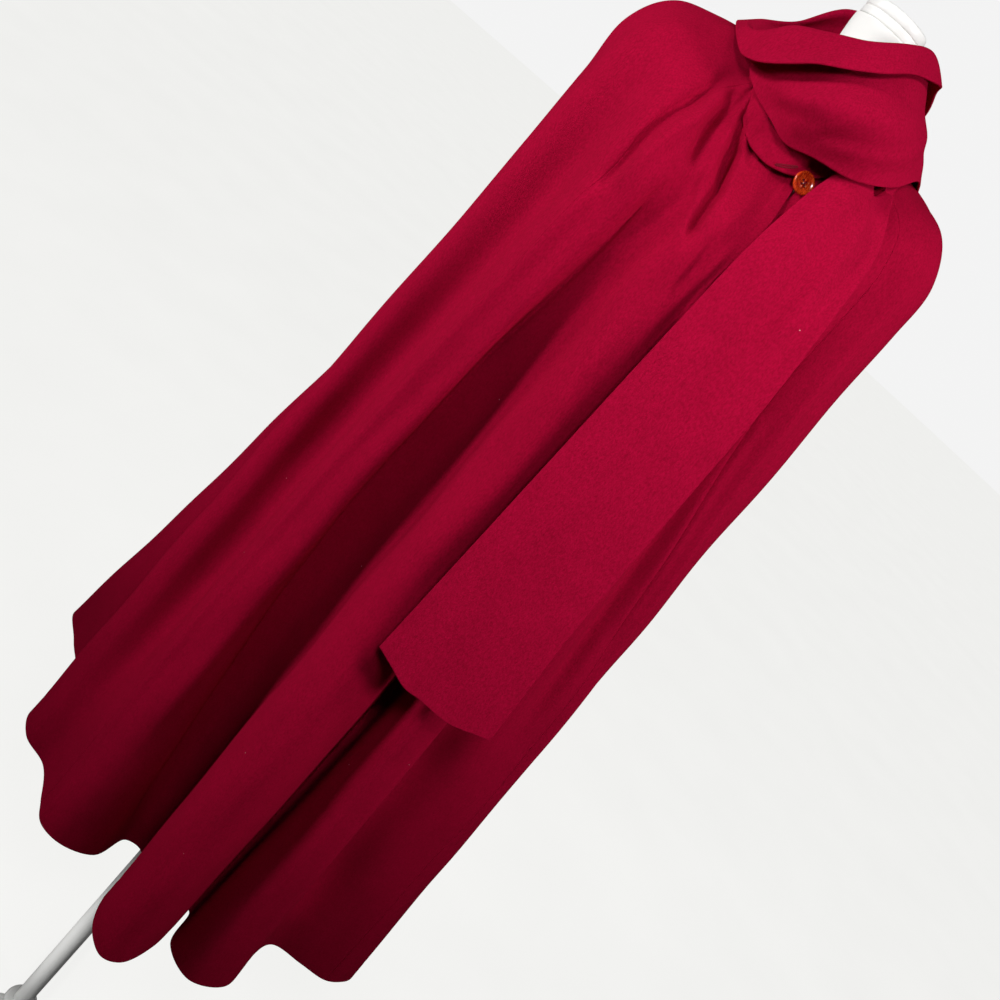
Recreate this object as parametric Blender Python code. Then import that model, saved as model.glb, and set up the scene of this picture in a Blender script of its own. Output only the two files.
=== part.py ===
"""Opera cape with an attached scarf, worn by a limbless dress form on a stand.

The wearer faces -Y and the wearer's left is +X. The cape is one surface, level by level from the neckline
down and fold by fold round the body, cut into five panels at its seams. The scarf is one strip swept through
stations that each hold a cross-section, cut into the four stretches that show.
"""

import math

import bpy
import numpy as np
from mathutils import Euler, Matrix, Vector

# Sizes in metres. Heights in the tables are above the cape's hem.
HEM_HEIGHT = 0.530
CENTRE_SHIFT = (0.0132, -0.0400)
CLOTH = 0.0020
SCARF_CLOTH = 0.0022
ROLL_RADIUS = 0.0042
BAND_CLOTH = 0.0030
SEAM_GAP = 0.0005
STRETCH_GAP = 0.0004
RING_POWER = 2.3

BUTTON_RADIUS = 0.0108
BUTTON_THICKNESS = 0.0034
BUTTON_HOLE_RADIUS = 0.0011
BUTTON_HOLE_SPACING = 0.0036
BUTTON_CENTRE = (0.0425, -0.0925, 1.1995)
BUTTON_TILT, BUTTON_TURN = -18.0, 24.0
# Depths and radii from the back face to the dished front, as shares of the thickness and the radius.
BUTTON_PROFILE = ((-0.5, 0.86), (-0.2, 1.0), (0.2, 1.0), (0.5, 0.90), (0.5, 0.74), (0.28, 0.66))

POLE_RADIUS = 0.0144
POLE_TOP = 0.5997
HUB_RADIUS = 0.0270
HUB_BOTTOM = -0.5220
HUB_TOP = -0.4910
FOOT_REACH = 0.300
STAND_CENTRE = (-0.005, 0.004)

CLOTH_STEPS_ROUND = 2
CLOTH_STEPS_DOWN = (2, 2, 1, 1, 2, 3, 3)
SCARF_STEPS_ALONG = 2
SCARF_STEPS_ACROSS = (3, 3, 2, 2, 3)

# The smooth rings the cape passes through between the neckline and the chest.
# name, reach, left, right, front, back, z_left, z_right, z_front, z_back
LEVELS = (
    ("neckline", 0.000, 0.068, 0.072, 0.086, 0.060, 1.274, 1.274, 1.193, 1.284),
    ("slope", 0.055, 0.120, 0.126, 0.103, 0.090, 1.260, 1.265, 1.164, 1.262),
    ("shoulder", 0.110, 0.165, 0.176, 0.124, 0.112, 1.243, 1.251, 1.139, 1.234),
    ("arm_top", 0.160, 0.188, 0.203, 0.139, 0.126, 1.208, 1.211, 1.115, 1.194),
    ("arm", 0.215, 0.1955, 0.211, 0.148, 0.134, 1.150, 1.155, 1.092, 1.145),
    ("chest", 0.300, 0.1980, 0.2185, 0.153, 0.141, 1.060, 1.060, 1.060, 1.060),
)
FULL_PUSH_REACH = 0.160
MIDDLE_REACH, MIDDLE_Z = 0.740, 0.620
HEM_REACH, HEM_Z = 1.360, 0.000

# Each fold line down the cape. Its turn is in degrees from the front towards the wearer's left.
# name, neck_turn, arm_turn, chest_push, mid_x, mid_y, hem_x, hem_y
FOLDS = (
    ("left_front_edge", 29, 8, -0.014, 0.0440, -0.106, 0.0480, -0.112),
    ("left_front_lap", 32, 15, -0.012, 0.0800, -0.098, 0.0900, -0.080),
    ("fold_3_flank", 36, 22, -0.002, 0.0950, -0.145, 0.0990, -0.137),
    ("fold_3_nose", 41, 30, 0.004, 0.1220, -0.170, 0.1458, -0.1600),
    ("fold_3_edge", 47, 38, 0.001, 0.1445, -0.148, 0.1900, -0.130),
    ("valley_3_flank", 51, 45, -0.005, 0.1500, -0.122, 0.1970, -0.075),
    ("valley_3_floor", 55, 50, -0.009, 0.1680, -0.096, 0.2120, -0.030),
    ("left_panel", 58, 54, -0.012, 0.2100, -0.075, 0.2620, -0.020),
    ("left_seam", 62, 59, -0.012, 0.2470, -0.045, 0.3050, -0.0125),
    ("left_ridge", 74, 73, 0.004, 0.2620, -0.020, 0.3270, 0.0016),
    ("left_side", 90, 88, 0.000, 0.2705, 0.014, 0.3370, 0.020),
    ("left_turn", 106, 104, 0.000, 0.2645, 0.060, 0.3300, 0.072),
    ("back_valley_1", 116, 114, -0.004, 0.2280, 0.092, 0.2620, 0.105),
    ("back_lobe_1", 124, 123, 0.000, 0.2240, 0.130, 0.2860, 0.170),
    ("back_nose_1", 132, 131, 0.003, 0.1960, 0.152, 0.2480, 0.222),
    ("left_back_seam", 140, 139, -0.004, 0.1600, 0.140, 0.1900, 0.152),
    ("back_lobe_2", 149, 147, 0.000, 0.1310, 0.164, 0.1610, 0.215),
    ("back_nose_2", 157, 156, 0.003, 0.0950, 0.176, 0.1100, 0.246),
    ("back_valley_2", 166, 165, -0.004, 0.0600, 0.157, 0.0600, 0.167),
    ("back_lobe_3", 174, 173, 0.000, 0.0300, 0.171, 0.0300, 0.220),
    ("back_nose_3", 182, 181, 0.003, -0.0050, 0.181, -0.0200, 0.252),
    ("back_valley_3", 190, 190, -0.004, -0.0400, 0.160, -0.0680, 0.175),
    ("back_lobe_4", 198, 198, 0.000, -0.0700, 0.170, -0.1000, 0.225),
    ("back_nose_4", 207, 207, 0.003, -0.1080, 0.170, -0.1500, 0.250),
    ("right_back_seam", 216, 217, -0.004, -0.1420, 0.142, -0.1900, 0.167),
    ("flap_inside", 225, 228, 0.000, -0.1740, 0.148, -0.2270, 0.215),
    ("flap_nose", 235, 240, 0.003, -0.2160, 0.143, -0.3000, 0.242),
    ("flap_edge", 246, 252, 0.002, -0.2540, 0.108, -0.3644, 0.2025),
    ("flap_front", 256, 261, 0.000, -0.2450, 0.068, -0.3250, 0.150),
    ("right_valley", 264, 268, -0.002, -0.2220, 0.044, -0.2620, 0.085),
    ("right_turn", 272, 275, 0.000, -0.2280, 0.018, -0.2620, 0.024),
    ("right_side", 281, 282, 0.001, -0.2300, -0.004, -0.2693, -0.011),
    ("right_face", 292, 294, 0.000, -0.2060, -0.030, -0.2430, -0.044),
    ("right_trough", 303, 306, -0.010, -0.1715, -0.038, -0.1985, -0.0615),
    ("right_seam", 316, 324, 0.001, -0.1360, -0.094, -0.1580, -0.110),
    ("right_lobe_side", 322, 329, 0.001, -0.1170, -0.112, -0.1330, -0.133),
    ("right_lobe", 328, 335, 0.001, -0.0980, -0.114, -0.0970, -0.138),
    ("valley_1_flank", 334, 341, -0.003, -0.0800, -0.098, -0.0560, -0.115),
    ("valley_1_floor", 341, 346.5, -0.013, -0.0540, -0.078, -0.0420, -0.062),
    ("valley_1_deep", 346, 351, -0.010, -0.0270, -0.092, -0.0140, -0.062),
    ("fold_2_flank", 353, 355.5, -0.001, -0.0160, -0.150, -0.0065, -0.157),
    ("fold_2_left", 359, 361, 0.003, 0.0030, -0.182, 0.0136, -0.2004),
    ("fold_2_nose", 367, 366, 0.004, 0.0270, -0.191, 0.0400, -0.2166),
    ("fold_2_right", 374, 370.5, 0.002, 0.0500, -0.180, 0.0653, -0.2045),
    ("fold_2_edge", 380, 373.5, 0.000, 0.0690, -0.152, 0.0834, -0.157),
    ("right_front_edge", 385, 376, 0.000, 0.0745, -0.124, 0.0880, -0.112),
)
# name, first fold, last fold
PANELS = (
    ("front_left", "left_front_edge", "left_seam"),
    ("side_left", "left_seam", "left_back_seam"),
    ("back", "left_back_seam", "right_back_seam"),
    ("side_right", "right_back_seam", "right_seam"),
    ("front_right", "right_seam", "right_front_edge"),
)

# The scarf's cross-sections from the front tail's end to the back tail's end. Each runs from the edge that
# lies lower round the neck, through the body of the cloth and the roll at its top, to the turned-out edge.
# name, low edge x y z, body x y z, roll x y z, turned edge x y z
SCARF = (
    ("front_end", 0.1880, -0.208, 0.607, 0.1420, -0.210, 0.594, 0.0860, -0.224, 0.592, 0.0385, -0.206, 0.601),
    ("front_low", 0.1765, -0.201, 0.752, 0.1330, -0.202, 0.748, 0.0820, -0.214, 0.748, 0.0395, -0.199, 0.748),
    ("front_middle", 0.1665, -0.189, 0.903, 0.1260, -0.190, 0.900, 0.0790, -0.200, 0.900, 0.0400, -0.188, 0.900),
    ("front_chest", 0.1565, -0.172, 1.042, 0.1200, -0.170, 1.040, 0.0770, -0.178, 1.040, 0.0410, -0.172, 1.040),
    ("front_top", 0.1460, -0.151, 1.131, 0.1140, -0.150, 1.130, 0.0760, -0.158, 1.130, 0.0430, -0.153, 1.130),
    ("front_gather", 0.1340, -0.108, 1.195, 0.1080, -0.119, 1.195, 0.0770, -0.125, 1.195, 0.0500, -0.119, 1.195),
    ("front_neck", 0.1120, -0.076, 1.240, 0.0960, -0.081, 1.243, 0.0780, -0.085, 1.246, 0.0620, -0.087, 1.249),
    ("left_shoulder", 0.1120, -0.040, 1.268, 0.0950, -0.044, 1.279, 0.0790, -0.045, 1.292, 0.0650, -0.040, 1.306),
    ("left_neck", 0.0980, 0.010, 1.279, 0.0820, 0.006, 1.292, 0.0680, 0.004, 1.310, 0.0640, 0.010, 1.328),
    ("left_back", 0.0660, 0.050, 1.290, 0.0640, 0.052, 1.318, 0.0540, 0.050, 1.344, 0.0600, 0.060, 1.330),
    ("back", 0.0040, 0.068, 1.295, 0.0040, 0.080, 1.330, 0.0040, 0.076, 1.361, 0.0040, 0.093, 1.336),
    ("right_back", -0.0400, 0.058, 1.294, -0.0450, 0.072, 1.323, -0.0380, 0.070, 1.350, -0.0500, 0.087, 1.324),
    ("right_neck", -0.0660, 0.030, 1.286, -0.0740, 0.040, 1.298, -0.0680, 0.047, 1.309, -0.0860, 0.060, 1.288),
    ("right_shoulder", -0.0780, 0.004, 1.280, -0.0880, 0.008, 1.283, -0.0940, 0.016, 1.286, -0.1100, 0.022, 1.274),
    ("right_tip", -0.0780, -0.020, 1.271, -0.0890, -0.018, 1.272, -0.1000, -0.008, 1.273, -0.1060, -0.024, 1.264),
    ("wrap_1", -0.0690, -0.056, 1.2460, -0.0760, -0.050, 1.2560, -0.0834, -0.048, 1.2674, -0.0800, -0.066, 1.2460),
    ("wrap_2", -0.0478, -0.080, 1.2277, -0.0530, -0.082, 1.2518, -0.0595, -0.068, 1.2873, -0.0580, -0.096, 1.2490),
    ("wrap_3", -0.0212, -0.102, 1.2166, -0.0243, -0.110, 1.2479, -0.0319, -0.084, 1.3011, -0.0306, -0.118, 1.2662),
    ("wrap_4", 0.0034, -0.116, 1.2095, 0.0025, -0.130, 1.2544, 0.0013, -0.094, 1.3150, -0.0085, -0.126, 1.2786),
    ("wrap_5", 0.0344, -0.124, 1.2164, 0.0317, -0.136, 1.2614, 0.0300, -0.086, 1.3352, 0.0283, -0.120, 1.3019),
    ("wrap_6", 0.0739, -0.120, 1.2262, 0.0678, -0.122, 1.2720, 0.0477, -0.066, 1.3453, 0.0508, -0.096, 1.3218),
    ("wrap_7", 0.1050, -0.088, 1.2452, 0.0935, -0.078, 1.2860, 0.0640, -0.036, 1.3410, 0.0735, -0.052, 1.3330),
    ("over_shoulder", 0.1220, -0.034, 1.2680, 0.1040, -0.018, 1.3000, 0.0660, -0.004, 1.3400, 0.0790, -0.008, 1.3350),
    ("behind_shoulder", 0.1380, 0.035, 1.2640, 0.1130, 0.046, 1.2880, 0.0750, 0.052, 1.3260, 0.0900, 0.062, 1.3180),
    ("behind_neck", 0.1580, 0.092, 1.2460, 0.1260, 0.108, 1.2600, 0.0820, 0.104, 1.2880, 0.0780, 0.120, 1.2720),
    ("back_gather", 0.1780, 0.130, 1.1980, 0.1380, 0.148, 1.2020, 0.0880, 0.150, 1.2120, 0.0600, 0.154, 1.2080),
    ("back_top", 0.1900, 0.146, 1.1000, 0.1470, 0.170, 1.1000, 0.0950, 0.176, 1.1000, 0.0520, 0.170, 1.1000),
    ("back_chest", 0.2000, 0.154, 0.9800, 0.1520, 0.184, 0.9800, 0.0980, 0.190, 0.9800, 0.0480, 0.180, 0.9800),
    ("back_middle", 0.2080, 0.164, 0.8400, 0.1560, 0.196, 0.8400, 0.1000, 0.203, 0.8400, 0.0460, 0.190, 0.8400),
    ("back_low", 0.2140, 0.176, 0.7200, 0.1600, 0.206, 0.7200, 0.1000, 0.214, 0.7200, 0.0440, 0.202, 0.7200),
    ("back_end", 0.2200, 0.188, 0.6040, 0.1640, 0.217, 0.6000, 0.1000, 0.226, 0.5980, 0.0420, 0.213, 0.6020),
)
# name, first station, last station
STRETCHES = (
    ("scarf_tail_front", "front_end", "front_neck"),
    ("scarf_neck", "front_neck", "right_tip"),
    ("scarf_wrap", "right_tip", "behind_shoulder"),
    ("scarf_tail_back", "behind_shoulder", "back_end"),
)

# The neck band starts under its lap and comes round to end over it. Turns are in degrees.
BAND_START, BAND_END = 8.0, 395.0
BAND_STEPS = 64
BAND_HEIGHT = 0.024
# The band's overlapping end stands out by the lap, which grows over this many degrees from this turn.
BAND_LAP = 0.0090
BAND_LAP_FROM, BAND_LAP_OVER = 320.0, 50.0
# It leans inwards by this share, and starts this far out from the neckline and above it.
BAND_LEAN = 0.25
BAND_OUT, BAND_RISE = 0.0010, 0.0012

# The dress form, from its base to the top of its neck.
# name, z, half_width, front, back
TORSO = (
    ("base", 0.6000, 0.142, 0.056, 0.100),
    ("hip_low", 0.6200, 0.152, 0.063, 0.110),
    ("hip", 0.6800, 0.156, 0.069, 0.114),
    ("hip_top", 0.7500, 0.142, 0.072, 0.098),
    ("waist", 0.8200, 0.120, 0.076, 0.078),
    ("ribs", 0.9000, 0.130, 0.092, 0.084),
    ("bust", 0.9900, 0.152, 0.118, 0.094),
    ("bust_top", 1.0600, 0.162, 0.114, 0.102),
    ("chest", 1.1300, 0.174, 0.096, 0.106),
    ("arm_top", 1.1800, 0.178, 0.080, 0.100),
    ("shoulder_end", 1.2145, 0.175, 0.067, 0.088),
    ("shoulder", 1.2360, 0.1515, 0.057, 0.076),
    ("shoulder_top", 1.2494, 0.1175, 0.0515, 0.066),
    ("neck_slope", 1.2585, 0.080, 0.0465, 0.058),
    ("neck_base", 1.2695, 0.0545, 0.044, 0.047),
    ("neck", 1.2900, 0.038, 0.040, 0.038),
    ("neck_top", 1.3440, 0.0355, 0.037, 0.036),
)
TORSO_CENTRE = (0.0068, 0.0045)
CAP_TOP = 1.3640
CAP_RADIUS = 0.0340
CAP_SIDES = 36
TURNED_SIDES = 28

# One leg of the stand, out from the hub. Each row is a section: its reach, half width, top and underside.
# name, reach, half_width, top, under
LEG = (
    ("root", 0.0274, 0.0085, -0.4970, -0.5130),
    ("knee", 0.1100, 0.0085, -0.5000, -0.5150),
    ("shin", 0.2350, 0.0080, -0.5070, -0.5210),
    ("heel", 0.2600, 0.0120, -0.5150, -0.5300),
    ("pad", 0.2740, 0.0150, -0.5160, -0.5300),
    ("toe", FOOT_REACH, 0.0090, -0.5180, -0.5300),
)
# name, turn from straight back towards the wearer's left
LEG_EDGE = 0.003
LEGS = (("stand_leg_back", 0.0), ("stand_leg_left", 120.0), ("stand_leg_right", 240.0))

# name, colour, roughness
MATERIALS = {
    "crimson_wool": ((0.44, 0.008, 0.055, 1.0), 0.88),
    "band_wool": ((0.40, 0.007, 0.050, 1.0), 0.88),
    "scarf_wool": ((0.46, 0.009, 0.060, 1.0), 0.88),
    "amber_resin": ((0.62, 0.09, 0.03, 1.0), 0.25),
    "form_jersey": ((0.86, 0.86, 0.85, 1.0), 0.75),
    "white_paint": ((0.88, 0.88, 0.87, 1.0), 0.45),
}


def clear_scene():
    for item in list(bpy.data.objects):
        bpy.data.objects.remove(item, do_unlink=True)


def new_collection(name):
    collection = bpy.data.collections.new(name)
    bpy.context.scene.collection.children.link(collection)
    return collection


def make_material(name):
    colour, roughness = MATERIALS[name]
    material = bpy.data.materials.get(name) or bpy.data.materials.new(name)
    material.use_nodes = True
    shader = material.node_tree.nodes["Principled BSDF"]
    shader.inputs["Base Color"].default_value = colour
    shader.inputs["Roughness"].default_value = roughness
    return material


def add_solid(collection, name, points, faces, material):
    """A closed mesh object, raised from the hem's heights to heights above the ground."""
    points = np.asarray(points, float) + (*CENTRE_SHIFT, HEM_HEIGHT)
    mesh = bpy.data.meshes.new(name)
    mesh.from_pydata(points.tolist(), [], faces)
    mesh.materials.append(make_material(material))
    solid = bpy.data.objects.new(name, mesh)
    collection.objects.link(solid)
    return solid


def curve_through(knots, values, wanted):
    """A cubic through the values at the knots. Each slope is the mean of the two beside it, by distance."""
    knots = np.asarray(knots, float)
    values = np.asarray(values, float)
    shape = (-1,) + (1,) * (values.ndim - 1)
    step = np.diff(knots).reshape(shape)
    rise = np.diff(values, axis=0) / step
    slope = np.empty_like(values)
    slope[0], slope[-1] = rise[0], rise[-1]
    slope[1:-1] = (step[1:] * rise[:-1] + step[:-1] * rise[1:]) / (step[1:] + step[:-1])
    k = np.clip(np.searchsorted(knots, wanted, side="right") - 1, 0, len(knots) - 2)
    h = step[k]
    t = (np.asarray(wanted, float) - knots[k]).reshape(shape) / h
    return (
        (1 + 2 * t) * (1 - t) ** 2 * values[k]
        + t * (1 - t) ** 2 * h * slope[k]
        + t * t * (3 - 2 * t) * values[k + 1]
        - t * t * (1 - t) * h * slope[k + 1]
    )


def chord_knots(points):
    """Knots spaced by the root of each chord, which keeps a curve through uneven points free of loops."""
    chords = np.linalg.norm(np.diff(points, axis=0), axis=1)
    return np.concatenate([[0.0], np.cumsum(np.sqrt(chords))])


def steps_between(knots, count):
    """Values that cut each gap between knots into equal parts, given one count or one for each gap."""
    counts = [count] * (len(knots) - 1) if isinstance(count, int) else count
    parts = [np.linspace(a, b, n, endpoint=False) for a, b, n in zip(knots, knots[1:], counts)]
    return np.concatenate(parts + [knots[-1:]])


def ring_point(level, turn, push=0.0):
    """The point of a level's ring at a turn in degrees, moved outwards by push."""
    _, _, left, right, front, back, z_left, z_right, z_front, z_back = level
    sine, cosine = math.sin(math.radians(turn)), math.cos(math.radians(turn))
    wide, z_side = (right, z_right) if sine > 0 else (left, z_left)
    deep, z_end = (front, z_front) if cosine > 0 else (back, z_back)
    total = abs(sine / wide) ** RING_POWER + abs(cosine / deep) ** RING_POWER
    radius = total ** (-1.0 / RING_POWER) + push
    return (radius * sine, -radius * cosine, z_side * sine**2 + z_end * cosine**2)


def fold_line(fold):
    """The points of one fold line at each level, then at the middle and the hem."""
    _, neck_turn, arm_turn, push, mid_x, mid_y, hem_x, hem_y = fold
    arm_reach = LEVELS[4][1]
    points = []
    for level in LEVELS:
        share = min(level[1] / arm_reach, 1.0)
        turn = neck_turn + (arm_turn - neck_turn) * share
        points.append(ring_point(level, turn, push * min(level[1] / FULL_PUSH_REACH, 1.0)))
    return points + [(mid_x, mid_y, MIDDLE_Z), (hem_x, hem_y, HEM_Z)]


def surface_normals(grid):
    """Unit normals of a grid of points, the cross product of its two directions."""
    down = np.gradient(grid, axis=0)
    across = np.gradient(grid, axis=1)
    normal = np.cross(down, across)
    return normal / np.linalg.norm(normal, axis=2, keepdims=True)


def cape_grid():
    """The whole cape's points by row down from the neckline and column round from the front opening."""
    lines = np.array([fold_line(fold) for fold in FOLDS])
    reaches = np.array([level[1] for level in LEVELS] + [MIDDLE_REACH, HEM_REACH])
    rows = curve_through(reaches, lines.transpose(1, 0, 2), steps_between(reaches, CLOTH_STEPS_DOWN))
    grid = []
    for row in rows:
        knots = chord_knots(row)
        grid.append(curve_through(knots, row, steps_between(knots, CLOTH_STEPS_ROUND)))
    return np.array(grid)


def cut_columns(grid, start, stop, gap):
    """The columns from start to stop, with the two end ones moved inwards by half the gap."""
    run = np.gradient(grid, axis=1)
    run /= np.linalg.norm(run, axis=2, keepdims=True)
    part = grid[:, start:stop].copy()
    part[:, 0] += run[:, start] * gap / 2
    part[:, -1] -= run[:, stop - 1] * gap / 2
    return part


def shell_faces(rows, columns):
    """Quads of two facing grids and the four rims that close them."""
    size = rows * columns
    at = np.arange(size).reshape(rows, columns)

    def quads(a):
        return np.stack([a[:-1, :-1], a[1:, :-1], a[1:, 1:], a[:-1, 1:]], axis=-1).reshape(-1, 4)

    def rim(line):
        return np.stack([line[:-1], line[:-1] + size, line[1:] + size, line[1:]], axis=-1)

    faces = [quads(at), quads(at + size)[:, ::-1]]
    faces += [rim(at[0])[:, ::-1], rim(at[-1]), rim(at[:, 0]), rim(at[:, -1])[:, ::-1]]
    return np.concatenate(faces).tolist()


def add_shell(collection, name, grid, normals, thickness, material):
    """A sheet of even thickness whose outer face is the grid."""
    rows, columns = grid.shape[:2]
    inner = grid - normals * thickness
    points = np.concatenate([grid.reshape(-1, 3), inner.reshape(-1, 3)])
    return add_solid(collection, name, points, shell_faces(rows, columns), material)


def build_cape(collection):
    grid = cape_grid()
    normals = surface_normals(grid)
    order = [fold[0] for fold in FOLDS]
    for name, first, last in PANELS:
        start = order.index(first) * CLOTH_STEPS_ROUND
        stop = order.index(last) * CLOTH_STEPS_ROUND + 1
        panel = cut_columns(grid, start, stop, SEAM_GAP)
        add_shell(collection, name, panel, normals[:, start:stop], CLOTH, "crimson_wool")


def scarf_section(station):
    """Six points across the scarf: low edge, body, three round the roll at its top, turned edge.

    Where the cloth folds back on itself the three make a U. Where it hangs flat they lie along it.
    """
    low, body, top, turned = np.array(station[1:]).reshape(4, 3)
    back = (body - top) / np.linalg.norm(body - top)
    on = turned - top
    folded = float(on @ back / np.linalg.norm(on))
    side = on - (on @ back) * back
    side *= ROLL_RADIUS * (1.0 + folded) / 2.0 / np.linalg.norm(side)
    before = top + back * ROLL_RADIUS - side
    after = top + back * ROLL_RADIUS * folded + side
    return [low, body, before, top, after, turned]


def scarf_grid():
    """The scarf's points by station along its length and column from its low edge to its turned edge."""
    sections = np.array([scarf_section(station) for station in SCARF])
    middle = chord_knots(sections.mean(axis=1))
    rows = curve_through(middle, sections, steps_between(middle, SCARF_STEPS_ALONG))
    grid = []
    for row in rows:
        knots = chord_knots(row)
        grid.append(curve_through(knots, row, steps_between(knots, SCARF_STEPS_ACROSS)))
    return np.array(grid)


def build_scarf(collection):
    grid = scarf_grid()
    normals = surface_normals(grid)
    order = [station[0] for station in SCARF]
    for name, first, last in STRETCHES:
        start = order.index(first) * SCARF_STEPS_ALONG
        stop = order.index(last) * SCARF_STEPS_ALONG + 1
        stretch = cut_columns(grid.transpose(1, 0, 2), start, stop, STRETCH_GAP).transpose(1, 0, 2)
        add_shell(collection, name, stretch, normals[start:stop], SCARF_CLOTH, "scarf_wool")


def build_band(collection):
    turns = np.linspace(BAND_START, BAND_END, BAND_STEPS)
    level = LEVELS[0]
    low = np.array([ring_point(level, turn) for turn in turns])
    lap = BAND_LAP * np.clip((turns - BAND_LAP_FROM) / BAND_LAP_OVER, 0.0, 1.0)
    out = low * (1.0, 1.0, 0.0)
    out /= np.linalg.norm(out, axis=1, keepdims=True)
    lean = np.array([0.0, 0.0, 1.0]) - BAND_LEAN * out
    lean /= np.linalg.norm(lean, axis=1, keepdims=True)
    base = low + out * (BAND_OUT + lap)[:, None] + lean * BAND_RISE
    grid = np.stack([base + lean * BAND_HEIGHT * share for share in (1.0, 0.5, 0.0)])
    normals = surface_normals(grid)
    add_shell(collection, "neck_band", grid, normals, BAND_CLOTH, "band_wool")


def lathe(rings, sides):
    """Points and faces of stacked rings (centre, half width, front, back) closed at both ends."""
    points = []
    for (x, y, z), wide, front, back in rings:
        for side in range(sides):
            angle = 2.0 * math.pi * side / sides
            sine, cosine = math.sin(angle), math.cos(angle)
            deep = front if cosine > 0 else back
            points.append((x + wide * sine, y - deep * cosine, z))
    faces = [tuple(range(sides))[::-1], tuple(range(len(points) - sides, len(points)))]
    for ring in range(len(rings) - 1):
        for side in range(sides):
            a = ring * sides + side
            b = ring * sides + (side + 1) % sides
            faces.append((a, b, b + sides, a + sides))
    return points, faces


def build_form(collection):
    table = np.array([row[1:] for row in TORSO])
    heights = steps_between(table[:, 0], 1)
    smooth = curve_through(table[:, 0], table[:, 1:], heights)
    x, y = TORSO_CENTRE
    rings = [((x, y, z), *sizes) for z, sizes in zip(heights, smooth.tolist())]
    add_solid(collection, "form_torso", *lathe(rings, TURNED_SIDES), "form_jersey")
    low = TORSO[-1][1] + SEAM_GAP
    cap = ((low, 0.94), (low + 0.003, 1.0), (CAP_TOP - 0.004, 1.0), (CAP_TOP, 0.90))
    rings = [((x, y, z), *(CAP_RADIUS * share,) * 3) for z, share in cap]
    add_solid(collection, "form_neck_cap", *lathe(rings, CAP_SIDES), "white_paint")


def build_stand(collection):
    x, y = STAND_CENTRE
    pole = ((HUB_TOP + SEAM_GAP, 0.9), (HUB_TOP + 0.002, 1.0), (POLE_TOP, 1.0))
    rings = [((x, y, z), *(POLE_RADIUS * share,) * 3) for z, share in pole]
    add_solid(collection, "stand_pole", *lathe(rings, TURNED_SIDES), "white_paint")
    hub = ((HUB_BOTTOM, 0.85), (HUB_BOTTOM + 0.004, 1.0), (HUB_TOP - 0.005, 1.0), (HUB_TOP, 0.80))
    rings = [((x, y, z), *(HUB_RADIUS * share,) * 3) for z, share in hub]
    add_solid(collection, "stand_hub", *lathe(rings, TURNED_SIDES), "white_paint")
    for name, turn in LEGS:
        sine, cosine = math.sin(math.radians(turn)), math.cos(math.radians(turn))
        points = []
        for _, reach, half, top, under in LEG:
            section = (
                (-half, under + LEG_EDGE), (-half + LEG_EDGE, under), (half - LEG_EDGE, under), (half, under + LEG_EDGE),
                (half, top - LEG_EDGE), (half - LEG_EDGE, top), (-half + LEG_EDGE, top), (-half, top - LEG_EDGE),
            )
            for side, z in section:
                points.append((x + reach * sine + side * cosine, y + reach * cosine - side * sine, z))
        faces = [tuple(range(8)), tuple(range(len(points) - 8, len(points)))[::-1]]
        for ring in range(len(LEG) - 1):
            for side in range(8):
                a = ring * 8 + side
                b = ring * 8 + (side + 1) % 8
                faces.append((a, a + 8, b + 8, b))
        add_solid(collection, name, points, faces, "white_paint")


def disc(stations, sides, matrix):
    """Points and faces of a turned disc, from (depth, radius) stations, with its back face first."""
    points = []
    for depth, radius in stations:
        for side in range(sides):
            angle = 2.0 * math.pi * side / sides
            points.append(matrix @ Vector((radius * math.sin(angle), -depth, radius * math.cos(angle))))
    faces = [tuple(range(sides)), tuple(range(len(points) - sides, len(points)))[::-1]]
    for ring in range(len(stations) - 1):
        for side in range(sides):
            a = ring * sides + side
            b = ring * sides + (side + 1) % sides
            faces.append((a, a + sides, b + sides, b))
    return [tuple(point) for point in points], faces


def build_button(collection):
    tilt = Euler((math.radians(BUTTON_TILT), 0.0, math.radians(BUTTON_TURN))).to_matrix().to_4x4()
    place = Matrix.Translation(BUTTON_CENTRE) @ tilt
    stations = [(depth * BUTTON_THICKNESS, share * BUTTON_RADIUS) for depth, share in BUTTON_PROFILE]
    button = add_solid(collection, "button", *disc(stations, 32, place), "amber_resin")
    cutters = new_collection("cutters")
    half = BUTTON_HOLE_SPACING / 2
    for number, (x, z) in enumerate(((-half, -half), (half, -half), (half, half), (-half, half))):
        hole_place = place @ Matrix.Translation((x, 0.0, z))
        drill = ((-BUTTON_THICKNESS, BUTTON_HOLE_RADIUS), (BUTTON_THICKNESS, BUTTON_HOLE_RADIUS))
        cutter = add_solid(cutters, f"cutter_{number}", *disc(drill, 12, hole_place), "amber_resin")
        cutter.hide_render = True
        hole = button.modifiers.new(f"hole_{number}", "BOOLEAN")
        hole.operation = "DIFFERENCE"
        hole.solver = "EXACT"
        hole.object = cutter


def main():
    clear_scene()
    collection = new_collection("opera_cape")
    build_cape(collection)
    build_band(collection)
    build_button(collection)
    build_scarf(collection)
    build_form(collection)
    build_stand(collection)


main()
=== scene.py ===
"""A crimson wool opera cape with a long scarf sewn to its neckline, worn by a limbless dress form on a stand.

The wearer faces -Y and the wearer's left is +X. Every cloth piece is a surface of two parameters, worked out
on a grid and given a wall with rounded edges, in the places that the frame's solids hold.
"""

import math

import bmesh
import bpy
import numpy as np
from mathutils import Euler, Matrix, Vector


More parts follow.
